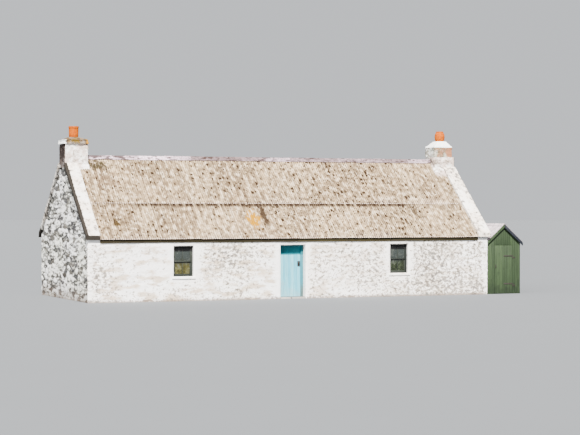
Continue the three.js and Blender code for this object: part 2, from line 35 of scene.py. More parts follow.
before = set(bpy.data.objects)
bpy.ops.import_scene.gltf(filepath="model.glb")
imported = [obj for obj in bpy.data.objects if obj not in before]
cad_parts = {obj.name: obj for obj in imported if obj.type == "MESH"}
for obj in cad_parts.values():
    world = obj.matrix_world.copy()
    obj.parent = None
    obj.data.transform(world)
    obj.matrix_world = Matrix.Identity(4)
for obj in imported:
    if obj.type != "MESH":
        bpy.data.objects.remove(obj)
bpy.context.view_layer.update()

# Sizes taken from the frame
ROOM_RIGHT, RIGHT = (corner.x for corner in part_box("right_gable_wall"))
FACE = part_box("left_gable_wall")[1].y
INNER_FACE, WALL_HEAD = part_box("back_wall")[0].y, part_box("back_wall")[1].z
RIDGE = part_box("front_roof_upper_sheets")[1].z
SKEW_LEFT, SKEW_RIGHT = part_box("left_skew_front")[1].x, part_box("right_skew_front")[0].x
DOOR_LEFT, DOOR_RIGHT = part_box("front_wall_left")[1].x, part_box("front_wall_right")[0].x
OPENING_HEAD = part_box("front_wall_over_door")[0].z

# Sizes that a box doesn't give
PITCH = math.radians(42)
DECK = 0.032
SHEETS = 20
COVER = (SKEW_RIGHT - SKEW_LEFT) / SHEETS

# Which way each end and each slope of the cottage faces
ENDS = {"left": -1, "right": 1}
SLOPES = {"front": -1, "back": 1}


def roof_at(out, below=0.0):
    """Height of the roof at a distance from the ridge, some depth below the top of the sheets."""
    return RIDGE - out * math.tan(PITCH) - below / math.cos(PITCH)


def on_slope(down, depth, ridge=RIDGE, pitch=PITCH):
    """How far out from the ridge and how high is what lies down a slope, some depth below it."""
    out = down * math.cos(pitch) - depth * math.sin(pitch)
    return out, ridge - down * math.sin(pitch) - depth * math.cos(pitch)


def slope_end(node):
    """How far down the slope from the ridge a course of sheets ends."""
    return (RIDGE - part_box(node)[0].z - DECK * math.cos(PITCH)) / math.sin(PITCH)


LAP_LINE = slope_end("front_roof_upper_sheets")
EAVES_LINE = slope_end("front_roof_lower_sheets")


# Node trees, for shaders and for Geometry Nodes


class Wire:
    """An output of a node. Arithmetic on it adds Math nodes to its tree."""

    def __init__(self, tree, socket):
        self.tree, self.socket = tree, socket

    def math(self, operation, *values):
        feeds = dict(enumerate(values))
        return Tree(self.tree).node("ShaderNodeMath", {"operation": operation}, feeds)[0]

    def __add__(self, other):
        return self.math("ADD", self, other)

    def __sub__(self, other):
        return self.math("SUBTRACT", self, other)

    def __rsub__(self, other):
        return self.math("SUBTRACT", other, self)

    def __mul__(self, other):
        return self.math("MULTIPLY", self, other)

    def __truediv__(self, other):
        return self.math("DIVIDE", self, other)

    def greatest(self, other):
        return self.math("MAXIMUM", self, other)

    __radd__ = __add__
    __rmul__ = __mul__


class Outputs:
    """The outputs of a node, read as wires by name or by place."""

    def __init__(self, tree, made):
        self.tree, self.made = tree, made

    def __getitem__(self, key):
        return Wire(self.tree, socket_of(self.made.outputs, key))


def socket_of(sockets, key):
    if isinstance(key, int):
        return sockets[key]
    by_identifier = [socket for socket in sockets if socket.identifier == key]
    by_name = [socket for socket in sockets if socket.name == key and socket.enabled]
    return (by_identifier or by_name)[0]


class Tree:
    """Adds nodes to the tree of a material or a modifier."""

    def __init__(self, tree):
        self.tree = tree

    def node(self, kind, settings=None, feeds=None):
        made = self.tree.nodes.new(kind)
        for name, value in (settings or {}).items():
            if name == "stops":
                set_stops(made.color_ramp, value)
            else:
                setattr(made, name, value)
        for key, value in (feeds or {}).items():
            self.feed(socket_of(made.inputs, key), value)
        return Outputs(self.tree, made)

    def feed(self, socket, value):
        if isinstance(value, Wire):
            self.tree.links.new(value.socket, socket)
        else:
            socket.default_value = value

    def vector(self, operation, first, second, place=1):
        feeds = {0: first, place: second}
        return self.node("ShaderNodeVectorMath", {"operation": operation}, feeds)["Vector"]

    def scaled(self, point, scale):
        return self.vector("MULTIPLY", point, scale)

    def moved(self, point, by):
        return self.vector("ADD", point, by)

    def times(self, vector, number):
        return self.vector("SCALE", vector, number, "Scale")

    def noise(self, point, scale, detail=2.0, rough=0.5, output="Fac"):
        """Noise of one scale, or of three along the axes."""
        if isinstance(scale, tuple):
            point, scale = self.scaled(point, scale), 1.0
        feeds = {"Vector": point, "Scale": scale, "Detail": detail, "Roughness": rough}
        return self.node("ShaderNodeTexNoise", {"noise_dimensions": "3D"}, feeds)[output]

    def cells(self, point, feature="F1", randomness=1.0, flat=False):
        settings = {"voronoi_dimensions": "2D" if flat else "3D", "feature": feature}
        feeds = {"Vector": point, "Scale": 1.0, "Randomness": randomness}
        return self.node("ShaderNodeTexVoronoi", settings, feeds)

    def between(self, value, low, high, to_low=0.0, to_high=1.0):
        """Value eased from low..high to to_low..to_high, and held there outside."""
        feeds = {"Value": value, "From Min": low, "From Max": high}
        feeds |= {"To Min": to_low, "To Max": to_high}
        return self.node("ShaderNodeMapRange", {"interpolation_type": "SMOOTHSTEP"}, feeds)["Result"]

    def split(self, vector):
        made = self.node("ShaderNodeSeparateXYZ", {}, {0: vector})
        return made[0], made[1], made[2]

    def stored(self, geometry, name, value, kind, domain="POINT"):
        """The geometry with a value kept on it as an attribute."""
        settings = {"data_type": kind, "domain": domain}
        feeds = {"Geometry": geometry, "Name": name, "Value": value}
        return self.node("GeometryNodeStoreNamedAttribute", settings, feeds)["Geometry"]


def set_stops(ramp, stops):
    while len(ramp.elements) < len(stops):
        ramp.elements.new(1.0)
    for element, (place, color) in zip(ramp.elements, stops):
        element.position = place
        element.color = (*color, 1.0)


class Finish(Tree):
    """A material: a Principled BSDF, and what varies over the surface."""

    def __init__(self, name, roughness=0.9, metallic=0.0, shine=0.5):
        self.material = bpy.data.materials.new(name)
        self.material.use_nodes = True
        super().__init__(self.material.node_tree)
        self.tree.nodes.clear()
        feeds = {"Roughness": roughness, "Metallic": metallic, "Specular IOR Level": shine}
        self.surface = self.node("ShaderNodeBsdfPrincipled", {}, feeds)
        self.node("ShaderNodeOutputMaterial", {}, {"Surface": self.surface["BSDF"]})

    def place(self):
        return self.node("ShaderNodeTexCoord")["Object"]

    def attribute(self, name, output="Fac"):
        return self.node("ShaderNodeAttribute", {"attribute_name": name})[output]

    def rest(self):
        """The place of a point before the relief moved it."""
        return self.attribute("rest", "Vector")

    def mix(self, share, a, b):
        feeds = {"Factor_Float": share, "A_Color": as_color(a), "B_Color": as_color(b)}
        return self.node("ShaderNodeMix", {"data_type": "RGBA"}, feeds)["Result_Color"]

    def over(self, color, tint, value, low, high, above=1.0, below=0.0):
        """The colour with a share of a tint: above where the value is high, below where it's low."""
        return self.mix(self.between(value, low, high, below, above), color, tint)

    def layered(self, color, *layers):
        """The colour under layers of tint, each given as over takes it."""
        for layer in layers:
            color = self.over(color, *layer)
        return color

    def ramp(self, value, *stops):
        return self.node("ShaderNodeValToRGB", {"stops": stops}, {"Fac": value})["Color"]

    def shade(self, color, factor):
        """The colour times a number."""
        gray = self.node("ShaderNodeCombineXYZ", {}, {0: factor, 1: factor, 2: factor})[0]
        return self.scaled(color, gray)

    def done(self, color, roughness=None, bump=None, depth=0.01, **more):
        inputs = self.surface.made.inputs
        self.feed(inputs["Base Color"], color)
        if roughness is not None:
            self.feed(inputs["Roughness"], roughness)
        if bump is not None:
            normal = self.node("ShaderNodeBump", {}, {"Height": bump, "Distance": depth})["Normal"]
            self.feed(inputs["Normal"], normal)
        for name, value in more.items():
            self.feed(inputs[name], value)
        return self.material


def as_color(value):
    return value if isinstance(value, Wire) else (*value, 1.0)


# Rubble: one pattern of stones, shared by the relief and the colours of all masonry

STONE_SIZE = (0.30, 0.42, 0.14)


def rubble(tree, point):
    """At a point: how far it is from the nearest joint, and three random numbers of its stone."""
    wobble = tree.noise(point, 2.3, 1.0, output="Color")
    wobble = tree.scaled(tree.moved(wobble, (-0.5, -0.5, -0.5)), (0.24, 0.24, 0.17))
    laid = tree.scaled(tree.moved(point, wobble), tuple(1 / size for size in STONE_SIZE))
    edge = tree.cells(laid, "DISTANCE_TO_EDGE", 0.85)["Distance"]
    return edge, tree.split(tree.cells(laid, "F1", 0.85)["Color"])


def new_group(name, inputs):
    """A Geometry Nodes tree with these inputs, its group input node and the tree."""
    group = bpy.data.node_groups.new(name, "GeometryNodeTree")
    face = group.interface
    face.new_socket("Geometry", in_out="INPUT", socket_type="NodeSocketGeometry")
    face.new_socket("Geometry", in_out="OUTPUT", socket_type="NodeSocketGeometry")
    for label, kind in inputs.items():
        face.new_socket(label, in_out="INPUT", socket_type="NodeSocket" + kind)
    tree = Tree(group)
    return group, tree, tree.node("NodeGroupInput")


def rubble_relief():
    """Moves the vertices of masonry along their push vectors, as stones and joints."""
    sizes = dict.fromkeys(("Joint Depth", "Stone Throw", "Lumps"), "Float")
    group, tree, given = new_group("rubble relief", sizes)
    point = tree.node("GeometryNodeInputPosition")[0]
    edge, chance = rubble(tree, point)
    joint = 1.0 - tree.between(edge, 0.02, 0.2)
    throw = (chance[0] - 0.8) * given["Stone Throw"] * (1.0 - joint)
    lumps = (tree.noise(point, 1.5, 3.0) - 0.62) * given["Lumps"] * 2.0
    fine = (tree.noise(point, 15.0, 2.0) - 0.55) * given["Stone Throw"]
    height = throw + lumps + fine - joint * given["Joint Depth"]
    settings = {"data_type": "FLOAT_VECTOR"}
    push = tree.node("GeometryNodeInputNamedAttribute", settings, {"Name": "push"})["Attribute"]
    kept = tree.stored(given["Geometry"], "rest", point, "FLOAT_VECTOR")
    feeds = {"Geometry": kept, "Offset": tree.times(push, height)}
    moved = tree.node("GeometryNodeSetPosition", {}, feeds)["Geometry"]
    tree.node("NodeGroupOutput", {}, {"Geometry": moved})
    return group


def laid_in_rows():
    """Copies of a mesh in rows and columns, each a little out of place and with a tone of its own."""
    inputs = {"Columns": "Int", "Rows": "Int", "Column Step": "Vector", "Row Step": "Vector"}
    inputs |= {"Shift": "Vector", "Twist": "Vector", "Seed": "Int", "Material": "Material"}
    group, tree, given = new_group("laid in rows", inputs)
    index = tree.node("GeometryNodeInputIndex")[0]
    column = index.math("MODULO", index, given["Columns"])
    row = index.math("FLOOR", index / given["Columns"])
    place = tree.moved(tree.times(given["Column Step"], column), tree.times(given["Row Step"], row))
    chance = {}
    for label, turn in (("Shift", 0), ("Twist", 1)):
        feeds = {0: (-1, -1, -1), 1: (1, 1, 1), "Seed": given["Seed"] + turn}
        made = tree.node("FunctionNodeRandomValue", {"data_type": "FLOAT_VECTOR"}, feeds)["Value"]
        chance[label] = tree.scaled(made, given[label])
    feeds = {"Count": given["Columns"] * given["Rows"], "Position": tree.moved(place, chance["Shift"])}
    points = tree.node("GeometryNodePoints", {}, feeds)[0]
    feeds = {"Points": points, "Instance": given["Geometry"], "Rotation": chance["Twist"]}
    laid = tree.node("GeometryNodeInstanceOnPoints", {}, feeds)[0]
    feeds = {2: 0.0, 3: 1.0, "Seed": given["Seed"] + 2}
    tone = tree.node("FunctionNodeRandomValue", {"data_type": "FLOAT"}, feeds)[1]
    toned = tree.stored(laid, "tone", tone, "FLOAT", "INSTANCE")
    real = tree.node("GeometryNodeRealizeInstances", {}, {"Geometry": toned})["Geometry"]
    feeds = {"Geometry": real, "Material": given["Material"]}
    tree.node("NodeGroupOutput", {}, {"Geometry": tree.node("GeometryNodeSetMaterial", {}, feeds)[0]})
    return group


RELIEF = rubble_relief()
ROWS = laid_in_rows()


# Meshes


def placed(name, data):
    """A new object in the scene, with a mesh, a light or a camera as its data."""
    obj = bpy.data.objects.new(name, data)
    bpy.context.scene.collection.objects.link(obj)
    return obj


def object_of(name, mesh, material):
    mesh.materials.append(material)
    return placed(name, mesh)


def mesh_of(name, points, faces):
    mesh = bpy.data.meshes.new(name)
    mesh.from_pydata([tuple(map(float, point)) for point in points], [], faces)
    return turned_out(mesh)


def turned_out(mesh, merged=0.0):
    """Turns all faces out, after merging what lies closer together than merged."""
    work = bmesh.new()
    work.from_mesh(mesh)
    if merged:
        bmesh.ops.remove_doubles(work, verts=work.verts, dist=merged)
    bmesh.ops.recalc_face_normals(work, faces=work.faces)
    work.to_mesh(mesh)
    work.free()
    return mesh


def applied(obj):
    """Keeps what an object's modifiers make of it as its mesh."""
    graph = bpy.context.evaluated_depsgraph_get()
    mesh = bpy.data.meshes.new_from_object(obj.evaluated_get(graph))
    obj.modifiers.clear()
    obj.data = mesh
    return obj


def grown(obj, group, **sizes):
    """Runs a node group on an object with these inputs."""
    modifier = obj.modifiers.new(group.name, "NODES")
    modifier.node_group = group
    for item in group.interface.items_tree:
        key = item.name.lower().replace(" ", "_")
        if item.in_out == "INPUT" and key in sizes:
            modifier[item.identifier] = sizes[key]
    return applied(obj)


def laid(obj, columns, step, shift, twist, seed, rows=1, row_step=(0, 0, 0)):
    """Lays copies of an object in rows, each a little shifted and twisted."""
    count = {"columns": columns, "rows": rows, "column_step": step, "row_step": row_step}
    material = obj.data.materials[0]
    return grown(obj, ROWS, **count, shift=shift, twist=twist, seed=seed, material=material)


def points_of(obj):
    flat = np.empty(len(obj.data.vertices) * 3)
    obj.data.vertices.foreach_get("co", flat)
    return flat.reshape(-1, 3)


def vectors(x, y, z):
    """Vectors from their parts, any of which may be one number for all."""
    return np.stack(np.broadcast_arrays(x, y, z), 1).astype(float)


def place_points(obj, x, y, z):
    obj.data.vertices.foreach_set("co", vectors(x, y, z).ravel())
    obj.data.update()


def paint(obj, **fields):
    """Stores numbers or vectors of the vertices as attributes; one number stands for all."""
    mesh = obj.data
    for name, values in fields.items():
        kind, part = ("FLOAT_VECTOR", "vector") if np.ndim(values) == 2 else ("FLOAT", "value")
        full = values if np.ndim(values) else np.full(len(mesh.vertices), values)
        layer = mesh.attributes.new(name, kind, "POINT")
        layer.data.foreach_set(part, np.ravel(full).astype(np.float32))


def lines(*stops, step):
    """Even steps of about this size between each two stops, with the stops themselves."""
    runs = [np.linspace(a, b, max(1, round((b - a) / step)) + 1)[:-1] for a, b in zip(stops, stops[1:])]
    return np.concatenate([*runs, stops[-1:]])


def block(us, vs, ws, filled=None):
    """The closed skin of the cells between three sets of lines, as corners (u, v, w) and quads.

    filled says which cells of u and v are there, all through w.
    """
    counts = (len(us), len(vs), len(ws))
    full = np.zeros([n + 1 for n in counts], bool)
    full[1:-1, 1:-1, 1:-1] = True if filled is None else filled[:, :, None]
    corner = np.arange(np.prod(counts)).reshape(counts)
    quads = []
    for axis in range(3):
        a, b = (k for k in range(3) if k != axis)
        spots = np.argwhere(np.diff(full, axis=axis))
        spots[:, [a, b]] -= 1
        ring = []
        for step_a, step_b in ((0, 0), (1, 0), (1, 1), (0, 1)):
            at = spots.copy()
            at[:, a] += step_a
            at[:, b] += step_b
            ring.append(corner[tuple(at.T)])
        quads.append(np.stack(ring, 1))
    used, quads = np.unique(np.concatenate(quads), return_inverse=True)
    places = np.unravel_index(used, counts)
    u, v, w = (line[place] for line, place in zip((us, vs, ws), places))
    return (u, v, w), quads.reshape(-1, 4).tolist()


def cells_clear_of(us, vs, *openings):
    """Which cells between the lines lie outside all openings, given as (low u, low v, high u, high v)."""
    u, v = (us[:-1] + us[1:])[:, None] / 2, (vs[:-1] + vs[1:])[None, :] / 2
    clear = np.ones((len(us) - 1, len(vs) - 1), bool)
    for low_u, low_v, high_u, high_v in openings:
        clear &= ~((u > low_u) & (u < high_u) & (v > low_v) & (v < high_v))
    return clear


# How close together corners are merged
MERGED = 1e-5


def turned(name, profile, material, x=0.0, segments=40):
    """A shape turned round an upright axis from a closed line of radii and heights."""
    radius, up = np.array(profile).T
    angle = np.linspace(0, 2 * np.pi, segments, endpoint=False)[:, None]
    parts = np.broadcast_arrays(x + np.cos(angle) * radius, np.sin(angle) * radius, up)
    near = np.arange(segments * len(profile)).reshape(segments, -1)
    far = np.roll(near, -1, 0)
    rings = (near, far, np.roll(far, -1, 1), np.roll(near, -1, 1))
    faces = np.stack(rings, 2).reshape(-1, 4).tolist()
    mesh = mesh_of(name, np.stack(parts, 2).reshape(-1, 3), faces)
    return object_of(name, turned_out(mesh, MERGED), material)


def on_body(obj, body, slot, *nodes, sharp=40):
    """Smooths a piece up to an angle, and lets it ride on a body in the place of these nodes."""
    obj.data.shade_smooth()
    obj.data.set_sharp_from_angle(angle=math.radians(sharp))
    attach(obj, body)
    if nodes:
        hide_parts(*nodes)


def refinished(node, material):
    """Gives a node of the frame a better material."""
    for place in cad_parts[node].material_slots:
        place.material = material


# Finishes


def masonry_finish():
    """Limewash over rubble. Where the bare attribute is high, most stones have lost it."""
    look = Finish("limewashed rubble", roughness=0.95, shine=0.15)
    point = look.rest()
    bare, margin = look.attribute("bare"), look.attribute("margin")
    edge, chance = rubble(look, point)
    across, _, up = look.split(point)
    joint = 1.0 - look.between(edge, 0.02, 0.12)
    patches = look.noise(point, 0.55, 3.0)
    blots = look.noise(point, (8.0, 3.3, 10.5), 3.0, 0.65)
    grain = look.noise(point, 19.0, 4.0, 0.65)
    streaks = look.noise(point, (1.9, 1.9, 5.5), 3.0, 0.6)
    kept = look.between(margin, 0.04, 0.3, 0.13, 0.0)
    rightward = look.between(across, 0.5, 6.0, 0.005, 0.065)
    corner = look.between(across, -7.4, -6.5, 0.06, 0.0)
    wear = blots + (grain - 0.5) * 0.45 + (patches - 0.5) * 0.4 + rightward + corner - kept
    stones = look.ramp(
        chance[1],
        (0.0, (0.06, 0.06, 0.065)),
        (0.3, (0.20, 0.19, 0.19)),
        (0.55, (0.10, 0.105, 0.10)),
        (0.8, (0.26, 0.235, 0.20)),
        (1.0, (0.075, 0.065, 0.055)),
    )
    stones = look.shade(stones, look.between(grain, 0.25, 0.75, 0.6, 1.5))
    wash = look.over((0.89, 0.88, 0.875), (0.87, 0.835, 0.79), patches, 0.35, 0.65)
    beige = look.between(streaks - kept, 0.45, 0.64) * look.between(across, -1.0, 3.0, 0.85, 0.5)
    wash = look.mix(beige, wash, (0.52, 0.41, 0.30))
    color = look.over(wash, (0.26, 0.215, 0.17), wear, 0.50, 0.63, 0.9)
    color = look.over(color, stones, wear, 0.61, 0.70, 0.85)
    lost = chance[2] * 0.35 + blots + (grain - 0.5) * 0.6
    gable = look.over((0.90, 0.885, 0.87), (0.88, 0.87, 0.79), patches, 0.4, 0.6)
    gable = look.over(gable, (0.165, 0.155, 0.12), lost, 0.59, 0.69, 0.85)
    gable = look.over(gable, look.shade(stones, 0.42), lost, 0.70, 0.79)
    gable = look.shade(gable, 1.0 - joint * look.between(blots, 0.45, 0.6, 0.0, 0.7))
    color = look.mix(bare, color, gable)
    splash = look.between(up + (blots - 0.5) * 0.5, 0.0, 0.1, 0.85, 0.0)
    earthy = look.between(up + (blots - 0.5) * 0.8, 0.1, 0.6, 0.5, 0.0) * bare
    color = look.mix(splash.greatest(earthy), color, (0.14, 0.10, 0.075))
    return look.done(color, 0.97, grain, 0.014)


def skew_finish():
    """White paint on dressed stones, with lichen and dirt; painted shade, nearly black, where the side
    attribute is 1.
    """
    look = Finish("painted skews", roughness=0.9, shine=0.15)
    point = look.rest()
    grain = look.noise(point, 8.0, 4.0, 0.65)
    specks = look.noise(point, 28.0, 3.0, 0.6)
    broad = look.noise(point, 1.6, 2.0)
    across, _, up = look.split(point)
    high_right = look.between(across, 6.0, 7.0) * look.between(up, 2.7, 4.2, 0.0, 0.06)
    worn = grain + (broad - 0.5) * 0.4 + high_right
    color = look.layered(
        (0.87, 0.845, 0.80),
        ((0.78, 0.69, 0.60), broad, 0.35, 0.65),
        ((0.42, 0.36, 0.30), worn, 0.50, 0.62, 0.7),
        ((0.11, 0.10, 0.10), worn, 0.60, 0.68, 0.85),
        ((0.30, 0.27, 0.20), specks, 0.58, 0.72, 0.5),
        # Painted shade on the skew's outer edge, underside and foot, where shadow falls under its
        # overhang
        ((0.018, 0.015, 0.012), look.attribute("side") + (grain - 0.5) * 0.9, 0.35, 0.65),
    )
    return look.done(color, 0.85 + grain * 0.12, grain + specks * 0.5, 0.014)


def stack_finish():
    """Limewash on the chimneys, sooty and green in patches, and dark with soot and painted shade on the
    outer side and under the cope.
    """
    look = Finish("chimney limewash", roughness=0.95, shine=0.15)
    point = look.rest()
    _, chance = rubble(look, point)
    grain = look.noise(point, 9.0, 4.0, 0.65)
    specks = look.noise(point, 30.0, 2.0, 0.6)
    broad = look.noise(point, 2.6, 2.0)
    patches = look.noise(point, 4.5, 3.0, 0.6)
    across, _, _ = look.split(point)
    worn = grain * 0.6 + patches * 0.45 + chance[2] * 0.08 + look.between(across, -1.0, 1.0, 0.0, 0.06)
    soot = ((0.3, (0.012, 0.007, 0.005)), (0.55, (0.028, 0.018, 0.015)), (0.72, (0.09, 0.07, 0.06)))
    color = look.layered(
        (0.87, 0.85, 0.82),
        ((0.62, 0.50, 0.44), broad, 0.4, 0.6),
        ((0.36, 0.28, 0.24), worn, 0.52, 0.70, 0.75),
        ((0.13, 0.105, 0.075), worn, 0.66, 0.76, 0.8),
        ((0.22, 0.20, 0.16), specks, 0.54, 0.68, 0.6),
        # Soot, and painted shade on the outer side face and under the cope
        (look.ramp(grain, *soot), look.attribute("grime") + (grain - 0.5) * 0.8, 0.2, 0.75),
    )
    return look.done(color, 0.95, grain + specks * 0.5, 0.014)


def cope_finish(name, stones, stain, lichen):
    """Bare stone and mortar, pale where whitened is high and coloured where lichen is high."""
    look = Finish(name, roughness=0.95, shine=0.15)
    point = look.rest()
    grain = look.noise(point, 9.0, 4.0, 0.7)
    broad = look.noise(point, 3.2, 3.0)
    blots = look.noise(point, 6.0, 3.0, 0.6)
    color = look.over(*stones, broad, 0.42, 0.58)
    color = look.shade(color, look.between(grain, 0.3, 0.7, 0.5, 1.6))
    whitened = look.attribute("whitened") + (grain - 0.5) * 1.6
    grown_over = look.attribute("lichen") + (broad - 0.5) * 1.2 + (grain - 0.5) * 1.2
    color = look.layered(
        color,
        (stain, blots + grain * 0.5, 0.74, 0.86, 0.9),
        ((0.85, 0.855, 0.83), whitened, 0.3, 0.7),
        (lichen, grown_over, 0.3, 0.8),
    )
    return look.done(color, 0.95, grain, 0.02)


def pot_finish():
    look = Finish("terracotta", roughness=0.8, shine=0.1)
    point = look.place()
    grain = look.noise(point, 16.0, 4.0, 0.65)
    rings = look.noise(point, (3.0, 3.0, 60.0), 2.0)
    color = look.over((0.29, 0.046, 0.0), (0.42, 0.10, 0.0), grain, 0.3, 0.7)
    color = look.over(color, (0.17, 0.03, 0.0), rings, 0.45, 0.75, 0.5)
    color = look.mix(look.attribute("soot"), color, (0.012, 0.01, 0.009))
    return look.done(color, 0.75 + grain * 0.15, grain + rings * 0.6, 0.006)


# Single stains on the front slope: their place across and down, how tight they are, their strength
# and their colour
SHEET_STAINS = (
    ((-6.25, 3.38), (8.0, 4.5), 0.95, (0.034, 0.02, 0.005)),
    ((-6.35, 0.45), (1.9, 3.6), 0.95, (0.026, 0.020, 0.009)),
    ((-6.05, 1.25), (2.0, 1.7), 0.55, (0.09, 0.055, 0.034)),
    ((4.95, 2.75), (5.0, 2.4), 0.8, (0.05, 0.033, 0.018)),
)


def sheet_finish():
    """Weathered corrugated sheets: spots of lichen, streaks down the slope, dirt and painted shade at the
    side laps, painted shadow under the end lap, and painted highlight and shade on the sheets' ends.
    """
    look = Finish("weathered sheets", roughness=0.92, shine=0.1)
    slope = look.attribute("slope", "Vector")
    crest, lip = look.attribute("crest"), look.attribute("lip")
    across, down, _ = look.split(slope)
    broad = look.noise(slope, 0.5, 3.0)
    grain = look.noise(slope, 16.0, 4.0, 0.7)
    streaks = look.noise(slope, (8.0, 0.8, 1.0), 4.0, 0.65)
    mottles = look.noise(slope, (8.0, 4.0, 1.0), 3.0, 0.6)

    def near(x, d, tight_x, tight_d):
        """Squared distance from a place on the slope, in units that may differ across and down."""
        away_x, away_d = (across - x) * tight_x, (down - d) * tight_d
        return away_x * away_x + away_d * away_d

    color = look.mix(look.attribute("tone"), (0.237, 0.168, 0.098), (0.353, 0.262, 0.158))
    color = look.shade(color, look.between(broad, 0.35, 0.65, 1.12, 0.85))
    color = look.shade(color, look.between(streaks, 0.3, 0.7, 1.35, 0.62))
    sheets_in = (across - SKEW_LEFT) / COVER
    color = look.layered(
        color,
        ((0.59, 0.477, 0.347), mottles, 0.50, 0.64, 0.85),
        ((0.09, 0.06, 0.036), mottles, 0.36, 0.50, 0.0, 0.75),
        ((0.085, 0.06, 0.04), crest, 0.1, 0.9, 0.0, 0.4),
        # Dirt and painted shade along each sheet's side lap
        ((0.06, 0.04, 0.028), sheets_in.math("FRACT", sheets_in), 0.02, 0.08, 0.0, 0.6),
    )
    for place, tight, strength, tint in SHEET_STAINS:
        off = near(*place, *tight) + (grain - 0.5) * 3.0 + (mottles - 0.5) * 4.0
        color = look.over(color, tint, off, 0.0, 1.2, 0.0, strength)
    fewer = look.between(across, -5.0, 4.0, 0.17, 0.08) - look.between(across, -6.6, -5.6, 0.05, 0.0)
    fewer = fewer + look.between(across, 4.8, 5.8, 0.0, 0.11)
    for scale, size in (((7.0, 4.2, 1.0), 0.52), ((13.0, 8.5, 1.0), 0.42)):
        cells = look.cells(look.scaled(slope, scale), flat=True)
        chance, strength, _ = look.split(cells["Color"])
        radius = chance * size - fewer + (broad - 0.5) * 0.3
        spot = cells["Distance"] + (grain - 0.5) * 0.9 + (crest - 0.5) * 0.12 - radius
        spot = look.between(spot, -0.12, 0.06, 1.0, 0.0) * look.between(strength, 0.0, 0.6, 0.5, 1.0)
        color = look.mix(spot, color, (0.019, 0.010, 0.005))
    smear_x, smear_d = (across + 0.93 + (grain - 0.5) * 0.25) * 9.0, (down - 3.0) * 1.5
    smear = smear_x * smear_x + smear_d * smear_d
    color = look.over(color, (0.026, 0.015, 0.008), smear, 0.2, 1.5, 0.0, 0.95)
    # Painted shadow of the upper course's corrugated ends: dark dashes just below the lap line, fainter
    # towards both ends of the roof
    below_lap = look.between(down, LAP_LINE + 0.08, LAP_LINE + 0.22, 1.0, 0.0)
    fainter_at_ends = look.between(across, -5.7, -5.2, 0.3, 1.0) * look.between(across, 4.5, 5.0, 1.0, 0.35)
    lap = below_lap * look.between(down, LAP_LINE - 0.004, LAP_LINE) * fainter_at_ends
    color = look.mix(lap * look.between(streaks, 0.40, 0.54, 0.5, 1.0), color, (0.018, 0.010, 0.006))
    # Painted highlight on the crests at each sheet's end, and painted shade in its troughs
    color = look.mix(lip * look.between(crest, 0.2, 0.6), color, (0.66, 0.54, 0.47))
    color = look.mix(lip * look.between(crest, 0.1, 0.45, 0.9, 0.0), color, (0.03, 0.012, 0.01))
    patch = near(-1.36, 3.2, 4.6, 2.3) + (mottles - 0.5) * 7.0
    color = look.over(color, (0.29, 0.135, 0.001), patch, 0.0, 1.5, 0.0, 1.0)
    return look.done(color, 0.9 + grain * 0.08, grain, 0.006)


def ridge_finish():
    look = Finish("ridge capping", roughness=0.9, shine=0.15)
    point = look.place()
    across, _, _ = look.split(point)
    grain = look.noise(point, 12.0, 4.0, 0.7)
    spots = look.noise(point, (4.0, 11.0, 11.0), 3.0, 0.6)
    tone = look.attribute("tone") * 0.5 + look.between(across, -4.2, -2.6, 0.5, 0.0)
    color = look.mix(tone, (0.115, 0.080, 0.080), (0.56, 0.43, 0.50))
    color = look.shade(color, look.between(grain, 0.3, 0.7, 1.4, 0.55))
    dark = spots + look.between(across, -5.4, -4.8, 0.06, 0.0)
    color = look.over(color, (0.032, 0.018, 0.014), dark, 0.52, 0.6, 0.9)
    return look.done(color, 0.92, grain, 0.006)


def timber_finish(name, grain_scale):
    """Sawn timber, its grain along the axis with the smallest scale."""
    look = Finish(name, roughness=0.85)
    fibres = look.noise(look.place(), grain_scale, 4.0, 0.6)
    broad = look.noise(look.place(), 2.2, 2.0)
    color = look.over((0.20, 0.145, 0.10), (0.11, 0.08, 0.055), fibres, 0.3, 0.7)
    color = look.shade(color, look.between(broad, 0.3, 0.7, 0.8, 1.15))
    return look.done(color, 0.8 + fibres * 0.15, fibres, 0.004)


def painted_wood(name, fresh, faded, dirt, shabby=0.5, painted_shadow=None):
    """Old paint on wood, faded and dirty, with the grain of each board showing through.

    The last argument is a height and a colour: above that height the wood takes that colour as a painted
    shadow under the head of its opening.
    """
    look = Finish(name, roughness=0.6, shine=0.25)
    point, tone = look.attribute("grain", "Vector"), look.attribute("tone")
    fibres = look.noise(point, (45.0, 45.0, 2.0), 4.0, 0.6)
    streaks = look.noise(point, (16.0, 16.0, 1.1), 3.0, 0.6)
    broad = look.noise(point, 3.0, 3.0)
    _, _, up = look.split(look.place())
    color = look.over(fresh, faded, streaks + (tone - 0.5) * 0.5, 0.3, 0.75)
    splash = look.between(up, 0.05, 0.6, 0.3, 0.0)
    color = look.over(color, dirt, broad + splash, 0.58, 0.8, shabby)
    # Painted shadow: above the height the wood takes the darker colour, as shade under a lintel or window
    # head
    if painted_shadow:
        height, kept = painted_shadow
        color = look.over(color, kept, up + (broad - 0.5) * 0.03, height - 0.01, height + 0.01)
    color = look.shade(color, look.between(fibres, 0.3, 0.7, 0.85, 1.15))
    return look.done(color, 0.6 + (fibres - 0.5) * 0.2, fibres + broad * 0.3, 0.003)


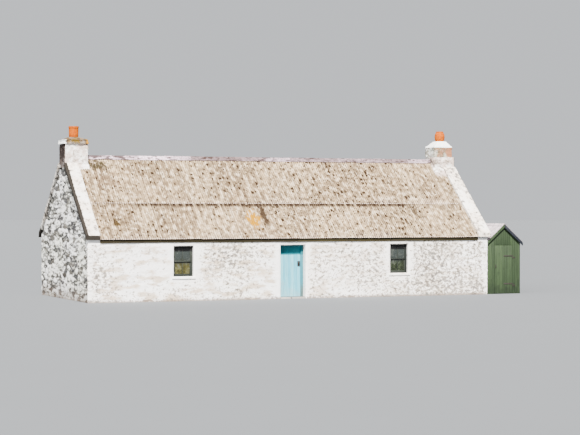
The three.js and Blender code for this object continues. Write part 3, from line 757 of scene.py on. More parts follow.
def flag_finish():
    """Stone flags of uneven shapes."""
    look = Finish("stone flags", roughness=0.85)
    point = look.place()
    wobble = look.noise(point, 1.4, 1.0, output="Color")
    flags = look.moved(look.scaled(point, (1.35, 1.9, 0.0)), look.scaled(wobble, (0.5, 0.5, 0.0)))
    edge = look.cells(flags, "DISTANCE_TO_EDGE", 0.7)["Distance"]
    chance = look.split(look.cells(flags, "F1", 0.7)["Color"])
    grain = look.noise(point, 12.0, 4.0, 0.65)
    joint = 1.0 - look.between(edge, 0.008, 0.03)
    color = look.mix(chance[0], (0.27, 0.25, 0.23), (0.40, 0.37, 0.33))
    color = look.shade(color, look.between(grain, 0.25, 0.75, 0.75, 1.2))
    color = look.mix(joint, color, (0.07, 0.06, 0.05))
    return look.done(color, 0.75 + grain * 0.2, grain * 0.4 - joint, 0.012)


def iron_finish(name, clean, rusted):
    look = Finish(name, roughness=0.7, metallic=0.3)
    grain = look.noise(look.place(), 60.0, 4.0, 0.65)
    color = look.over(clean, rusted, grain, 0.35, 0.7)
    return look.done(color, 0.6 + grain * 0.3, grain, 0.002)


def glass_finish():
    """Old window glass, dusty in patches, over a dark room, with a painted reflection of the grass and a
    painted shadow under the window head.
    """
    look = Finish("old window glass", roughness=0.08)
    point = look.place()
    dust = look.noise(point, 5.0, 4.0, 0.6)
    across, _, up = look.split(point)
    # Painted reflection of the grass, olive to dark green across the window
    green = look.over((0.050, 0.046, 0.012), (0.016, 0.022, 0.010), across, -2.0, 2.0)
    green = look.shade(green, look.between(dust, 0.35, 0.65, 0.6, 1.4))
    color = look.layered(
        green,
        # Darker in the upper panes, as part of the painted reflection
        ((0.025, 0.031, 0.029), up + (dust - 0.5) * 0.5, 1.1, 1.4),
        ((0.08, 0.085, 0.07), dust, 0.5, 0.75, 0.6),
        # Painted shadow under the window head
        ((0.002, 0.002, 0.002), up, 1.62, 1.66),
    )
    alpha = look.between(dust, 0.4, 0.7, 0.8, 0.95)
    return look.done(color, look.between(dust, 0.4, 0.75, 0.15, 0.5), dust, 0.001, Alpha=alpha)


def shed_sheet_finish():
    look = Finish("outhouse sheets", roughness=0.75)
    point = look.place()
    grain = look.noise(point, 14.0, 4.0, 0.65)
    streaks = look.noise(point, (3.0, 14.0, 3.0), 3.0)
    color = look.mix(look.attribute("tone"), (0.38, 0.325, 0.345), (0.53, 0.455, 0.48))
    color = look.shade(color, look.between(streaks, 0.3, 0.7, 1.15, 0.7))
    color = look.over(color, (0.20, 0.12, 0.08), grain, 0.58, 0.7, 0.7)
    return look.done(color, 0.65 + grain * 0.25, grain, 0.003)


def floor_finish():
    look = Finish("studio floor", roughness=1.0)
    broad = look.noise(look.place(), 0.6, 2.0)
    return look.done(look.over((0.1085, 0.1170, 0.1277), (0.1099, 0.1184, 0.1291), broad, 0.3, 0.7))


MASONRY = masonry_finish()
SKEW_PAINT = skew_finish()
STACK = stack_finish()
MOSSY_COPE = cope_finish(
    "mossy cope",
    ((0.085, 0.055, 0.03), (0.17, 0.14, 0.115)),
    stain=(0.115, 0.068, 0.003),
    lichen=(0.36, 0.155, 0.001),
)
STAINED_COPE = cope_finish(
    "stained cope",
    ((0.31, 0.32, 0.26), (0.21, 0.165, 0.10)),
    stain=(0.065, 0.05, 0.025),
    lichen=(0.26, 0.12, 0.065),
)
TERRACOTTA = pot_finish()
SHEETS_LOOK = sheet_finish()
RIDGE_LOOK = ridge_finish()
SHED_SHEETS_LOOK = shed_sheet_finish()
GLASS = glass_finish()
IRON = iron_finish("rusty iron", (0.035, 0.018, 0.012), (0.13, 0.035, 0.012))
BLACK_IRON = iron_finish("black iron", (0.010, 0.009, 0.009), (0.03, 0.018, 0.014))

# Each paint's colours: fresh, faded and dirty
SHADES = {
    "sash": ((0.010, 0.013, 0.011), (0.022, 0.026, 0.021), (0.012, 0.011, 0.008)),
    "door": ((0.075, 0.34, 0.45), (0.17, 0.47, 0.55), (0.24, 0.33, 0.35)),
    "door frame": ((0.03, 0.16, 0.20), (0.065, 0.20, 0.225), (0.08, 0.095, 0.08)),
    # The eaves board's paint is dark enough to stand in for the shadow under the eaves as well
    "eaves board": ((0.016, 0.012, 0.003), (0.028, 0.022, 0.006), (0.008, 0.005, 0.003)),
    "outhouse": ((0.018, 0.031, 0.0135), (0.029, 0.049, 0.0205), (0.008, 0.012, 0.007)),
    "barge board": ((0.005, 0.007, 0.011), (0.012, 0.014, 0.02), (0.01, 0.01, 0.01)),
}

# How shabby a paint is, and above which height a painted shadow gives it which colour
WEAR_AND_SHADOW = {
    "sash": (0.5, (1.64, (0.002, 0.002, 0.002))),
    "door": (0.4, (1.49, (0.001, 0.11, 0.14))),
    "door frame": (0.7, (1.49, (0.001, 0.09, 0.115))),
}
PAINT = {
    name: painted_wood(name + " paint", *shades, *WEAR_AND_SHADOW.get(name, ()))
    for name, shades in SHADES.items()
}


# Stonework

# How fine masonry is divided, how far its corners are worn off, and how deep in a wall it's divided
GRID = 0.038
ARRIS = 0.02
FINE_DEPTHS = (0.0, 0.04, 0.11, 0.25, 0.42)

# How deep the packing under the eaves reaches into the head of a wall
HEAD_PACKING = 0.12

# Each kind's slot and finish, the depth of its joints, the throw of its stones and its lumps
STONEWORK = {
    "limed wall": ("limewash", MASONRY, 0.0025, 0.014, 0.024),
    "gable wall": ("bare_rubble", MASONRY, 0.014, 0.022, 0.02),
    "skew": ("skew_paint", SKEW_PAINT, 0.005, 0.012, 0.02),
    "stack": ("skew_paint", STACK, 0.016, 0.02, 0.028),
    "left cope": ("cope_stone", MOSSY_COPE, 0.004, 0.012, 0.025),
    "right cope": ("cope_stone", STAINED_COPE, 0.02, 0.02, 0.03),
    "mortar": ("skew_paint", STACK, 0.006, 0.012, 0.05),
    "sill": ("limewash", MASONRY, 0.0, 0.006, 0.006),
}


def stonework(name, kind, quads, points, push, *nodes, **fields):
    """A finished piece of masonry: its corners and quads, with stones pushed out of it."""
    slot, finish, joint_depth, stone_throw, lumps = STONEWORK[kind]
    obj = object_of(name, mesh_of(name, points, quads), finish)
    paint(obj, push=push, **fields)
    grown(obj, RELIEF, joint_depth=joint_depth, stone_throw=stone_throw, lumps=lumps)
    on_body(obj, "cottage", slot, *nodes, sharp=50)


def shortened(push):
    """Push vectors, none longer than 1."""
    return push / np.maximum(1, np.linalg.norm(push, axis=1))[:, None]


def opening_of(node):
    """The opening that a window frame stands in, as left, foot, right and head."""
    low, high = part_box(node)
    return low.x, low.z, high.x, high.z


def distance_from(u, v, opening):
    low_u, low_v, high_u, high_v = opening
    out_u = np.maximum(np.maximum(low_u - u, u - high_u), 0)
    out_v = np.maximum(np.maximum(low_v - v, v - high_v), 0)
    return np.hypot(out_u, out_v)


def wall_length(node, sign, openings, around):
    """A length of the front (sign -1) or back wall, pierced by openings, near others around it."""
    low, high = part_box(node)
    us = lines(low.x, *sorted(x for o in openings for x in (o[0], o[2])), high.x, step=GRID)
    vs = lines(low.z, *sorted(z for o in openings for z in (o[1], o[3])), high.z, step=GRID)
    ws = np.array([*FINE_DEPTHS, FACE - INNER_FACE])
    (u, v, w), quads = block(us, vs, ws, cells_clear_of(us, vs, *openings))
    outer, inner = w == 0, w == ws[-1]
    to_opening = np.min([distance_from(u, v, o) for o in (*openings, *around)], axis=0)
    worn = ARRIS * np.clip(1 - to_opening / 0.03, 0, 1) * outer
    packed = (v == WALL_HEAD) & (w <= HEAD_PACKING)
    up = np.where(packed, roof_at(FACE - w, DECK + 0.004), v)
    points = vectors(u, sign * (FACE - w - worn), up)
    push = vectors(0, sign * (outer - 0.35 * inner), 0)
    margin = np.minimum(np.minimum(to_opening, RIGHT - abs(u)), WALL_HEAD - v) + inner
    stonework(node + "_rubble", "limed wall", quads, points, push, node, bare=0.0, margin=margin)


def gable(side, bareness):
    """A gable to the slope of the roof; its ends carry on the front and back walls."""
    node, sign = side + "_gable_wall", ENDS[side]
    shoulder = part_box(side + "_chimney_stack")[1].y
    us = lines(-FACE, -INNER_FACE, -shoulder, shoulder, INNER_FACE, FACE, step=GRID)
    ws = lines(0, RIGHT - ROOM_RIGHT, step=GRID)
    (u, v, w), quads = block(us, np.linspace(0, 1, 108), ws)
    outer, inner, end = w == 0, (w == ws[-1]) & (abs(u) < INNER_FACE), abs(u) == FACE
    up = v * (roof_at(np.maximum(abs(u), shoulder), DECK) - 0.001)
    corner = ARRIS * (outer & end)
    points = vectors(sign * (RIGHT - w - corner), u - np.sign(u) * corner, up)
    push = vectors(sign * (outer - 0.35 * inner), np.sign(u) * end, 0)
    push[outer & end] *= 0.7
    margin = np.where(end, np.minimum(w, WALL_HEAD - up), 1.0) + inner
    bare = bareness * outer * np.clip((FACE - abs(u)) / 0.12, 0, 1)
    stonework(node + "_rubble", "gable wall", quads, points, push, node, bare=bare, margin=margin)


def skew(side, way):
    """A line of painted cope stones up one edge of the roof, each a little out of line."""
    node, sign = f"{side}_skew_{way}", SLOPES[way]
    low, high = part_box(node)
    near, far = sorted((abs(low.y), abs(high.y)))
    us, vs = lines(low.x, high.x, step=GRID), lines(near, far, step=GRID * 0.8)
    (u, v, w), quads = block(us, vs, np.linspace(0, 1, 5))
    chance = np.random.default_rng(len(node) + ord(node[0]))
    joints = near + (far - near) * (np.arange(1, 5) + chance.uniform(-0.15, 0.15, 4)) / 5
    stone = np.searchsorted(joints, v)
    lift = chance.uniform(-0.014, 0.0, 5)[stone]
    shift = chance.uniform(-0.008, 0.008, 5)[stone]
    groove = np.max([np.clip(1 - abs(v - joint) / 0.02, 0, 1) for joint in joints], axis=0)
    first, last, top = u == us[0], u == us[-1], w == 1
    side_edge = first | last
    rise = roof_at(0, -0.095) - roof_at(0, DECK)
    up = roof_at(v, DECK) + w * rise + top * (lift - 0.012 * groove - 0.018 * side_edge)
    inset = np.where(side_edge, 0.006 * groove * np.sign(u.mean() - u), 0)
    points = vectors(u + inset + shift * (1 - side_edge), sign * v, up)
    outward = sign * math.sin(PITCH) * top + sign * (v == vs[-1])
    push = shortened(vectors(1.0 * last - 1.0 * first, outward, math.cos(PITCH) * top))
    # The dark marks paint shade on the outer edge and the underside of a skew, and on the foot of a left
    # skew, where shadow falls under its overhang; on the back left skew they are half as strong except in
    # the last 0.3 m above its foot
    if side == "left":
        foot, arris = (v == vs[-1]) & (w < 1), np.clip(1.9 - abs(u - us[0]) / 0.08, 0, 1)
    else:
        foot, arris = 0.0, last & (w < 1)
    shade_strength = np.where(v > far - 0.3, 1.0, 0.5) if node == "left_skew_back" else 1.0
    dark = np.maximum(foot, shade_strength * np.maximum(w == 0, arris))
    stonework(node + "_stones", "skew", quads, points, push, node, side=dark)


# How wide a flue is
FLUE = 0.23


def shaft(low, high, middle, ws):
    """A block of a chimney with its flue open through it: corners, quads and push vectors outwards."""
    us = lines(low.x, middle - FLUE / 2, middle + FLUE / 2, high.x, step=GRID)
    vs = lines(low.y, -FLUE / 2, FLUE / 2, high.y, step=GRID)
    flue = (middle - FLUE / 2, -FLUE / 2, middle + FLUE / 2, FLUE / 2)
    corners, quads = block(us, vs, ws, cells_clear_of(us, vs, flue))
    ways = [1.0 * (part == ends[-1]) - 1.0 * (part == ends[0]) for part, ends in zip(corners, (us, vs))]
    return corners, quads, vectors(*ways, 0)


def stack(side):
    """A chimney stack, with its flue open through it."""
    node = side + "_chimney_stack"
    low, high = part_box(node)
    ws = lines(low.z, high.z, step=GRID)
    (u, v, w), quads, push = shaft(low, high, (low.x + high.x) / 2, ws)
    corner = (abs(push).sum(1) == 2)[:, None]
    points = vectors(u, v, w) - push * corner * ARRIS
    push = np.where(corner, push * 0.7, push)
    height = (w - low.z) / (high.z - low.z)
    # Soot and painted shade on the stack's outer side face, stronger upwards, and a painted shadow in the
    # band just under the cope
    grime = np.clip(ENDS[side] * push[:, 0], 0, 1) * (0.55 + 0.45 * height)
    grime = np.minimum(grime + 0.3 * np.clip((w - high.z + 0.12) / 0.12, 0, 1), 1)
    stonework(node + "_rubble", "stack", quads, points, push, node, grime=grime)


# Each cope's thickness at its edge, how high its slab is, and how far what is above is set back
COPES = {"left": (0.135, 0.06, 0.035), "right": (0.395, 0.4, 0.0)}

# How far from the pot's middle the slope of mortar ends
HAUNCH_TOP = 0.185


def cope(side):
    """The cope of a stack, with its hipped haunching of mortar up to the pot."""
    node = side + "_chimney_cope"
    low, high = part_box(node)
    thickness, slab, set_back = COPES[side]
    middle = sum(corner.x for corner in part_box(side + "_chimney_pot")) / 2
    ws = lines(0, 1, step=GRID / (high.z - low.z))
    (u, v, w), quads, push = shaft(low, high, middle, ws)
    runs = [
        (u - low.x) / (middle - HAUNCH_TOP - low.x),
        (high.x - u) / (high.x - middle - HAUNCH_TOP),
        (high.y - abs(v)) / (high.y - HAUNCH_TOP),
    ]
    climb = np.clip(np.min(runs, axis=0), 0, 1)
    up = w * (thickness + (high.z - low.z - thickness) * climb)
    sides, top = abs(push).sum(1), w == 1
    inward = ARRIS * (sides == 2) + set_back * (up > slab + 0.001)
    points = vectors(u, v, low.z + up - 0.015 * top * (sides > 0)) - push * inward[:, None]
    push[:, 2] = top * np.clip((np.hypot(u - middle, v) - 0.2) / 0.1, 0, 1)
    along = (u - low.x) / (high.x - low.x)
    if side == "left":
        whitened = np.clip(1.1 - along / 0.18, 0, 1) * (up < thickness + 0.02)
        lichen = 0.9 * np.clip((along - 0.75) / 0.2, 0, 1)
    else:
        above, front = up > thickness - 0.03, (v < 0) & (abs(v) > 0.7 * high.y)
        whitened = np.where(above, 1.1, 0.4 - 0.12 * front)
        hollow = np.clip(1 - np.hypot((along - 0.9) / 0.35, (up - 0.14) / 0.25), 0, 1)
        lichen = front * (0.45 + 0.8 * hollow) * ~above
    looks = {"whitened": whitened, "lichen": lichen}
    stonework(node + "_stones", side + " cope", quads, points, shortened(push), node, **looks)


# Each pot's outside and inside, from foot to mouth and back, as radii and heights
POTS = {
    "left": (
        [(0.15, 0.0), (0.158, 0.02), (0.163, 0.1), (0.165, 0.26), (0.163, 0.3), (0.172, 0.305)]
        + [(0.175, 0.325), (0.175, 0.355), (0.170, 0.37)],
        [(0.145, 0.37), (0.137, 0.34), (0.133, 0.1), (0.125, 0.0)],
    ),
    "right": (
        [(0.148, 0.0), (0.163, 0.035), (0.180, 0.09), (0.188, 0.155), (0.184, 0.215), (0.171, 0.27)]
        + [(0.150, 0.31), (0.137, 0.33), (0.134, 0.35), (0.134, 0.362), (0.129, 0.37)],
        [(0.112, 0.368), (0.108, 0.33), (0.14, 0.26), (0.155, 0.16), (0.14, 0.05), (0.122, 0.0)],
    ),
}


def pot(side):
    """A clay pot, sooty inside and round its mouth."""
    node = side + "_chimney_pot"
    low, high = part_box(node)
    middle = (low.x + high.x) / 2
    outside, inside = POTS[side]
    profile = [(radius, low.z + up) for radius, up in outside + inside]
    obj = turned(node + "_clay", profile, TERRACOTTA, middle)
    x, y, up = (points_of(obj) - (middle, 0, low.z)).T
    skin = np.interp(up, [z for _, z in outside], [radius for radius, _ in outside])
    within = 1.0 * (np.hypot(x, y) < skin - 0.01)
    paint(obj, soot=np.maximum(within, 0.25 * np.clip((up - 0.32) / 0.05, 0, 1)))
    on_body(obj, "cottage", "terracotta", node)


# How far the mortar of each chimney reaches down the slope and to the side, and its greatest depth
MORTAR = {"left": (0.13, 0.012), "right": (0.3, 0.05)}
MORTAR_DEPTH = 0.075


def mortar(side, way):
    """Mortar on the sheets at the foot of a stack, thinning out down the slope and to the side."""
    low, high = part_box(side + "_chimney_stack")
    reach, aside = MORTAR[side]
    inward, sign = -ENDS[side], SLOPES[way]
    inner, edge = (high.x, SKEW_LEFT + 0.001) if side == "left" else (low.x, SKEW_RIGHT - 0.001)
    beside = inner + inward * lines(0.0, aside, step=0.02)[1:]
    us = np.sort(np.concatenate([lines(*sorted((edge, inner)), step=0.03), beside]))
    vs = lines(0.17, high.y, high.y + reach, step=0.03)
    under_left, under_right = sorted((edge - inward, inner))
    filled = cells_clear_of(us, vs, (under_left, 0.0, under_right, high.y))
    (u, v, w), quads = block(us, vs, np.array([0.0, 1.0]), filled)
    off = np.hypot(np.maximum(inward * (u - inner), 0) / aside, np.maximum(v - high.y, 0) / reach)
    thick, top = MORTAR_DEPTH * np.sqrt(np.clip(1 - off, 0, 1)) - 0.02, w == 1
    points = vectors(u, sign * v, roof_at(v, np.where(top, -thick, 0.022)))
    push = vectors(0, sign * math.sin(PITCH) * top, math.cos(PITCH) * top)
    stonework(f"{side}_chimney_mortar_{way}", "mortar", quads, points, push, grime=0.0)


# Sheeting


def sheeting(name, profile, stations, thickness, material):
    """A closed sheet: a line of points (across, up) carried along stations, thick below the line."""
    profile = np.asarray(profile)
    along_line = np.gradient(profile, axis=0)
    along_line /= np.linalg.norm(along_line, axis=1)[:, None]
    (i, station, w), quads = block(np.arange(len(profile)), np.asarray(stations), np.array([0, 1]))
    across = profile[i, 0] + along_line[i, 1] * w * thickness
    up = profile[i, 1] - along_line[i, 0] * w * thickness
    return object_of(name, mesh_of(name, vectors(across, station, up), quads), material)


def corrugated(name, material, stations, cover, waves, rise, thickness, drop):
    """A corrugated sheet that reaches a wave past its cover, and lies lower by drop at its first edge."""
    wave = cover / waves
    x = np.linspace(0, cover + wave * 0.9, 8 * waves + 8)
    z = (np.cos(x / wave * 2 * np.pi) - 1) / 2 * rise - drop * (1 - x / cover)
    obj = sheeting(name, np.stack([x, z], 1), stations, thickness, material)
    paint(obj, crest=(np.cos(points_of(obj)[:, 0] / wave * 2 * np.pi) + 1) / 2)
    return obj


# The corrugations of the cottage's sheets and of the outhouse's, for corrugated
WAVES = 9
ROOF_SHEET = {"waves": WAVES, "rise": 0.016, "thickness": 0.005, "drop": 0.0055}
SHED_ROOF_SHEET = {"waves": 8, "rise": 0.015, "thickness": 0.002, "drop": 0.0022}

# How far the upper course laps the lower one, and how much of a sheet's end is marked as its lip, where
# the finish paints highlight and shade
LAP_OVER = 0.15
LIP = 0.04

# Where each course starts and ends down the slope, and how far it lies below the top of the sheets
COURSES = {
    "upper": (0.012, LAP_LINE, 0.002),
    "lower": (LAP_LINE - LAP_OVER, EAVES_LINE - 0.008, 0.0085),
}

# How far from the front slope the finish takes the back one to be, so that their spots differ
BACK_OFFSET = 40.0


def roof_course(way, course, seed):
    """One course of sheets: each laps its neighbour by a wave, and stands a little out of line."""
    node = f"{way}_roof_{course}_sheets"
    top, end, below = COURSES[course]
    rows = lines(top, end - LIP, end, step=0.35)
    obj = corrugated(node + "_corrugated", SHEETS_LOOK, rows, COVER, **ROOF_SHEET)
    shift, twist = (0.002, 0.008, 0.0008), (0.0003, 0.0, 0.0009)
    laid(obj, SHEETS, (COVER, 0, 0), shift, twist, seed)
    across, down, height = points_of(obj).T
    across = np.clip(across + SKEW_LEFT, SKEW_LEFT + 0.001, SKEW_RIGHT - 0.001)
    notch = np.zeros_like(down)
    for side in ENDS:
        low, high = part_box(side + "_chimney_stack")
        notch[(across > low.x) & (across < high.x)] = (high.y + 0.004) / math.cos(PITCH)
    down = np.clip(np.maximum(down, notch), None, EAVES_LINE - 0.001)
    depth = below - height
    out, up = on_slope(down, depth)
    place_points(obj, across, SLOPES[way] * np.maximum(out, 0.002), up)
    offset = BACK_OFFSET if way == "back" else 0.0
    paint(obj, slope=vectors(across, down + offset, depth), lip=np.clip(1 - (end - down) / LIP, 0, 1))
    turned_out(obj.data, MERGED)
    on_body(obj, "cottage", "roof_sheet", node, sharp=50)


def ridge_cap():
    """Lengths of capping, each with a collar over the end of the next."""
    node, count = "ridge_capping", 14
    left, right = (corner.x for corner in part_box(node))
    length = (right - left) / count
    wing, roll = 0.14, 0.045
    foot = (wing, -wing * math.tan(PITCH) + 0.016)
    arc = [(roll * math.sin(a), roll * math.cos(a) - 0.012) for a in np.linspace(1.05, -1.05, 9)]
    neck = (0.05, arc[0][1] - 0.012)
    bend = ((foot[0] + neck[0]) / 2, (foot[1] + neck[1]) / 2)
    line = [foot, bend, neck, *arc, *((-y, z) for y, z in (neck, bend, foot))]
    stations = [0, 0.004, 0.06, 0.064, length / 2, length + 0.02]
    obj = sheeting(node + "_lengths", line[::-1], stations, 0.006, RIDGE_LOOK)
    y, x, z = points_of(obj).T
    collar = x < 0.062
    wider = 1 + 0.07 * collar
    place_points(obj, x, y * wider, z * wider + 0.003 * collar)
    shift = twist = (0.0, 0.003, 0.004)
    laid(obj, count, (length, 0, 0), shift, twist, seed=7)
    x, y, z = points_of(obj).T
    place_points(obj, np.clip(x + left, left, right), y, z + RIDGE)
    turned_out(obj.data)
    on_body(obj, "cottage", "ridge_sheet", node, sharp=35)


def roof_bolts(way):
    """Rusty bolts with domed heads on the crests, through to the purlins."""
    ring = [(0.017, 0.0), (0.017, 0.003), (0.011, 0.0035), (0.010, 0.009), (0.0, 0.012), (0.0, 0.0)]
    obj = turned(way + "_roof_bolts", ring, IRON, segments=7)
    shift, twist, rows = (0.0, 0.012, 0.0), (0.06, 0.06, 3.1), {"rows": 2, "row_step": (0, 1.48, 0)}
    laid(obj, SHEETS * 3, (COVER / 3, 0, 0), shift, twist, seed=23, **rows)
    across, down, height = points_of(obj).T
    across, down = across + SKEW_LEFT + COVER / WAVES * 2, down + 2.385
    out, up = on_slope(down, 0.004 + 0.0065 * (down > LAP_LINE) - height)
    place_points(obj, across, SLOPES[way] * out, up)
    turned_out(obj.data)
    on_body(obj, "cottage", "iron", sharp=60)


# Joinery


class Joinery:
    """Boards, bars and pins gathered into one mesh, each with its grain along its own length."""

    def __init__(self, seed):
        self.chance = np.random.default_rng(seed)
        self.points, self.faces, self.grain, self.tone = [], [], [], []

    def add(self, corners, faces):
        corners = np.asarray(corners, float)
        length = corners.max(0) - corners.min(0)
        base = sum(map(len, self.points))
        self.points.append(corners)
        self.faces += [[base + i for i in face] for face in faces]
        upright = np.roll(corners, 2 - int(np.argmax(length)), axis=1)
        self.grain.append(upright + self.chance.uniform(0, 50, 3))
        self.tone.append(np.full(len(corners), self.chance.uniform()))

    def six_sided(self, corners):
        """A six-sided piece from its eight corners, x slowest and z fastest."""
        sides = ((0, 1, 3, 2), (4, 6, 7, 5), (0, 4, 5, 1), (2, 3, 7, 6), (0, 2, 6, 4), (1, 5, 7, 3))
        self.add(corners, sides)

    def bar(self, xs, ys, zs):
        self.six_sided([(x, y, z) for x in xs for y in ys for z in zs])

    def board(self, xs, ys, foot, heads):
        """An upright board whose head slopes from one height at its left to another at its right."""
        self.six_sided([(x, y, z) for x, head in zip(xs, heads) for y in ys for z in (foot, head)])

    def pin(self, x, y, foot, head, radius, sides=12):
        """An upright round pin."""
        turn = np.linspace(0, 2 * np.pi, sides, endpoint=False)
        ring = [(x + radius * math.cos(a), y + radius * math.sin(a)) for a in turn]
        corners = [(*spot, z) for z in (foot, head) for spot in ring]
        walls = [(i, (i + 1) % sides, (i + 1) % sides + sides, i + sides) for i in range(sides)]
        self.add(corners, [*walls, range(sides), range(sides, 2 * sides)])

    def made(self, name, finish, body, slot, *nodes, bevel=0.003):
        """Finishes the piece, with its edges rounded off."""
        obj = object_of(name, mesh_of(name, np.concatenate(self.points), self.faces), finish)
        paint(obj, grain=np.concatenate(self.grain), tone=np.concatenate(self.tone))
        edges = obj.modifiers.new("arrises", "BEVEL")
        edges.width, edges.segments = bevel, 2
        on_body(applied(obj), body, slot, *nodes, sharp=35)


# Widths of a window's case and stiles, and half of its sashes' overlap and of its upright bar
CASE = 0.048
STILE = 0.042
RAIL = 0.016
GLAZING_BAR = 0.011


def window(place, sign):
    """A sash-and-case window of two sashes, each of two panes, with its sill."""
    node = place + "_window_frame"
    left, foot, right, head = opening_of(node)
    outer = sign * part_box(node)[sign > 0].y
    middle, rail = (left + right) / 2, (foot + head) / 2
    sashes, glass = Joinery(sum(map(ord, place))), Joinery(3)

    def bar(x0, x1, z0, z1, front, back, joinery=sashes):
        joinery.bar((x0, x1), sorted((sign * (outer - front), sign * (outer - back))), (z0, z1))

    inner_left, inner_right = left + CASE, right - CASE
    bar(left, inner_left, foot, head, 0.0, 0.09)
    bar(inner_right, right, foot, head, 0.0, 0.09)
    bar(inner_left, inner_right, head - CASE, head, 0.0, 0.09)
    bar(inner_left, inner_right, foot, foot + 0.04, -0.012, 0.09)
    upper, lower = (rail - RAIL, head - CASE, 0.014, 0.03), (foot + 0.04, rail + RAIL, 0.048, 0.055)
    pane_left, pane_right = inner_left + STILE, inner_right - STILE
    for low, high, depth, bottom in (upper, lower):
        pane_foot, pane_head, back = low + bottom, high - 0.036, depth + 0.032
        bar(inner_left, pane_left, low, high, depth, back)
        bar(pane_right, inner_right, low, high, depth, back)
        bar(pane_left, pane_right, low, pane_foot, depth, back)
        bar(pane_left, pane_right, pane_head, high, depth, back)
        beside = middle - GLAZING_BAR, middle + GLAZING_BAR
        bar(*beside, pane_foot, pane_head, depth + 0.002, depth + 0.03)
        for x0, x1 in ((pane_left, beside[0]), (beside[1], pane_right)):
            bar(x0, x1, pane_foot, pane_head, depth + 0.014, depth + 0.018, glass)
    sashes.made(place + "_window_sashes", PAINT["sash"], "cottage", "sash_paint", node)
    panes = place + "_window_panes", GLASS, "cottage", "window_glass", place + "_window_glass"
    glass.made(*panes, bevel=0.0005)
    sill(place, sign, left, right, foot)


def sill(place, sign, left, right, foot):
    """A limewashed sill that sheds water to the front, a little proud of the wall."""
    us, vs = lines(left - 0.06, right + 0.06, step=0.03), lines(-0.028, 0.1, step=0.025)
    (u, v, w), quads = block(us, vs, np.linspace(0, 1, 4))
    edge = (v == vs[0]) | (u == us[0]) | (u == us[-1])
    fall = 0.02 * np.clip((0.1 - v) / 0.1, 0, 1) + 0.012 * edge
    points = vectors(u, sign * (FACE - v), foot + 0.012 - 0.075 * (1 - w) - fall * (w == 1))
    push = vectors(0, sign * (v == vs[0]), 0)
    stonework(place + "_window_sill", "sill", quads, points, push, bare=0.0, margin=0.0)


# The front door's boards, its thickness and the height of its ledges
DOOR_BOARDS = 6
LEAF = 0.04
LEDGE = 0.11

# How thick a hinge's strap is, its knuckle's radius and length, and where the front door's hinges are
STRAP = 0.006
KNUCKLE = 0.009
KNUCKLE_LENGTH = 0.06
HINGE_HEIGHTS = (0.42, 1.45)


def front_door():
    """A door of upright boards on three ledges."""
    low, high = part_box("door_leaf")
    right, face, foot = high.x, low.y, low.z
    left = DOOR_LEFT + DOOR_RIGHT - right
    width = (right - left) / DOOR_BOARDS
    us = np.array([0.0, 0.005, width / 2, width - 0.007, width - 0.002])
    (u, v, w), quads = block(us, lines(0, high.z - foot, step=0.25), np.array([0.0, 0.022]))
    chamfer = 0.005 * ((u == 0) | (u == us[-1])) * (w == 0)
    mesh = mesh_of("door_boards", vectors(u, w + chamfer, v), quads)
    boards = object_of("door_boards", mesh, PAINT["door"])
    shift, twist = (0.0, 0.0008, 0.0), (0.0, 0.0, 0.0)
    laid(boards, DOOR_BOARDS, (width, 0, 0), shift, twist, seed=4)
    points = points_of(boards) + (left, face + 0.001, foot)
    place_points(boards, *points.T)
    paint(boards, grain=points)
    on_body(boards, "front_door", "door_paint", "door_leaf", sharp=30)

    ledges = Joinery(8)
    middles = [z + KNUCKLE_LENGTH / 2 for z in HINGE_HEIGHTS]
    for z in (*middles, sum(middles) / 2):
        zs = (z - LEDGE / 2, z + LEDGE / 2)
        ledges.bar((left + 0.05, right - 0.04), (face + 0.0242, face + LEAF), zs)
    ledges.made("door_ledges", PAINT["door"], "front_door", "door_paint")


def door_frame():
    """Posts and head, rebated behind for the leaf."""
    low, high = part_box("door_frame")
    joinery = Joinery(12)
    for wide, tall, front, back in ((0.09, 0.07, 0.0, 0.045), (0.075, 0.055, 0.0455, 0.09)):
        ys = (low.y + front, low.y + back)
        joinery.bar((low.x, low.x + wide), ys, (low.z, high.z))
        joinery.bar((high.x - wide, high.x), ys, (low.z, high.z))
        joinery.bar((low.x + wide, high.x - wide), ys, (high.z - tall, high.z))
    finish = PAINT["door frame"]
    joinery.made("door_frame_posts", finish, "cottage", "frame_paint", "door_frame", bevel=0.005)


def hinge_halves(name, hinge, heights, face, reaches, bodies, finish):
    """Straps and knuckles of a pair of hinges, the leaf's halves standing on the frame's.

    face is the y that the straps lie on; reaches and bodies are the leaf's, then the frame's.
    """
    x, y = hinge
    out = math.copysign(1, y - face)
    drops = (0.0, KNUCKLE_LENGTH + 0.0003)
    for part, reach, body, drop in zip(("leaf", "frame"), reaches, bodies, drops):
        iron = Joinery(5)
        for height in heights:
            foot = height - drop
            middle = foot + KNUCKLE_LENGTH / 2
            iron.pin(x, y, foot, foot + KNUCKLE_LENGTH, KNUCKLE)
            ys = sorted((face + 0.0002 * out, face + STRAP * out))
            iron.bar(sorted((x, x + reach)), ys, (middle - 0.02, middle + 0.02))
            head_ys = (ys[0], ys[1] + STRAP * out / 2)
            for share in (0.3, 0.6, 0.9):
                spot = x + reach * share
                iron.bar((spot - 0.007, spot + 0.007), head_ys, (middle - 0.007, middle + 0.007))
        iron.made(f"{name}_hinges_{part}", finish, body, "iron", bevel=0.0015)


# The knob's rose and knob, as radii and distances from the door
KNOB = [(0.0, 0.0), (0.036, 0.0), (0.037, 0.004), (0.030, 0.007), (0.014, 0.009), (0.012, 0.018)]
KNOB += [(0.020, 0.024), (0.028, 0.032), (0.029, 0.039), (0.022, 0.045), (0.0, 0.047)]


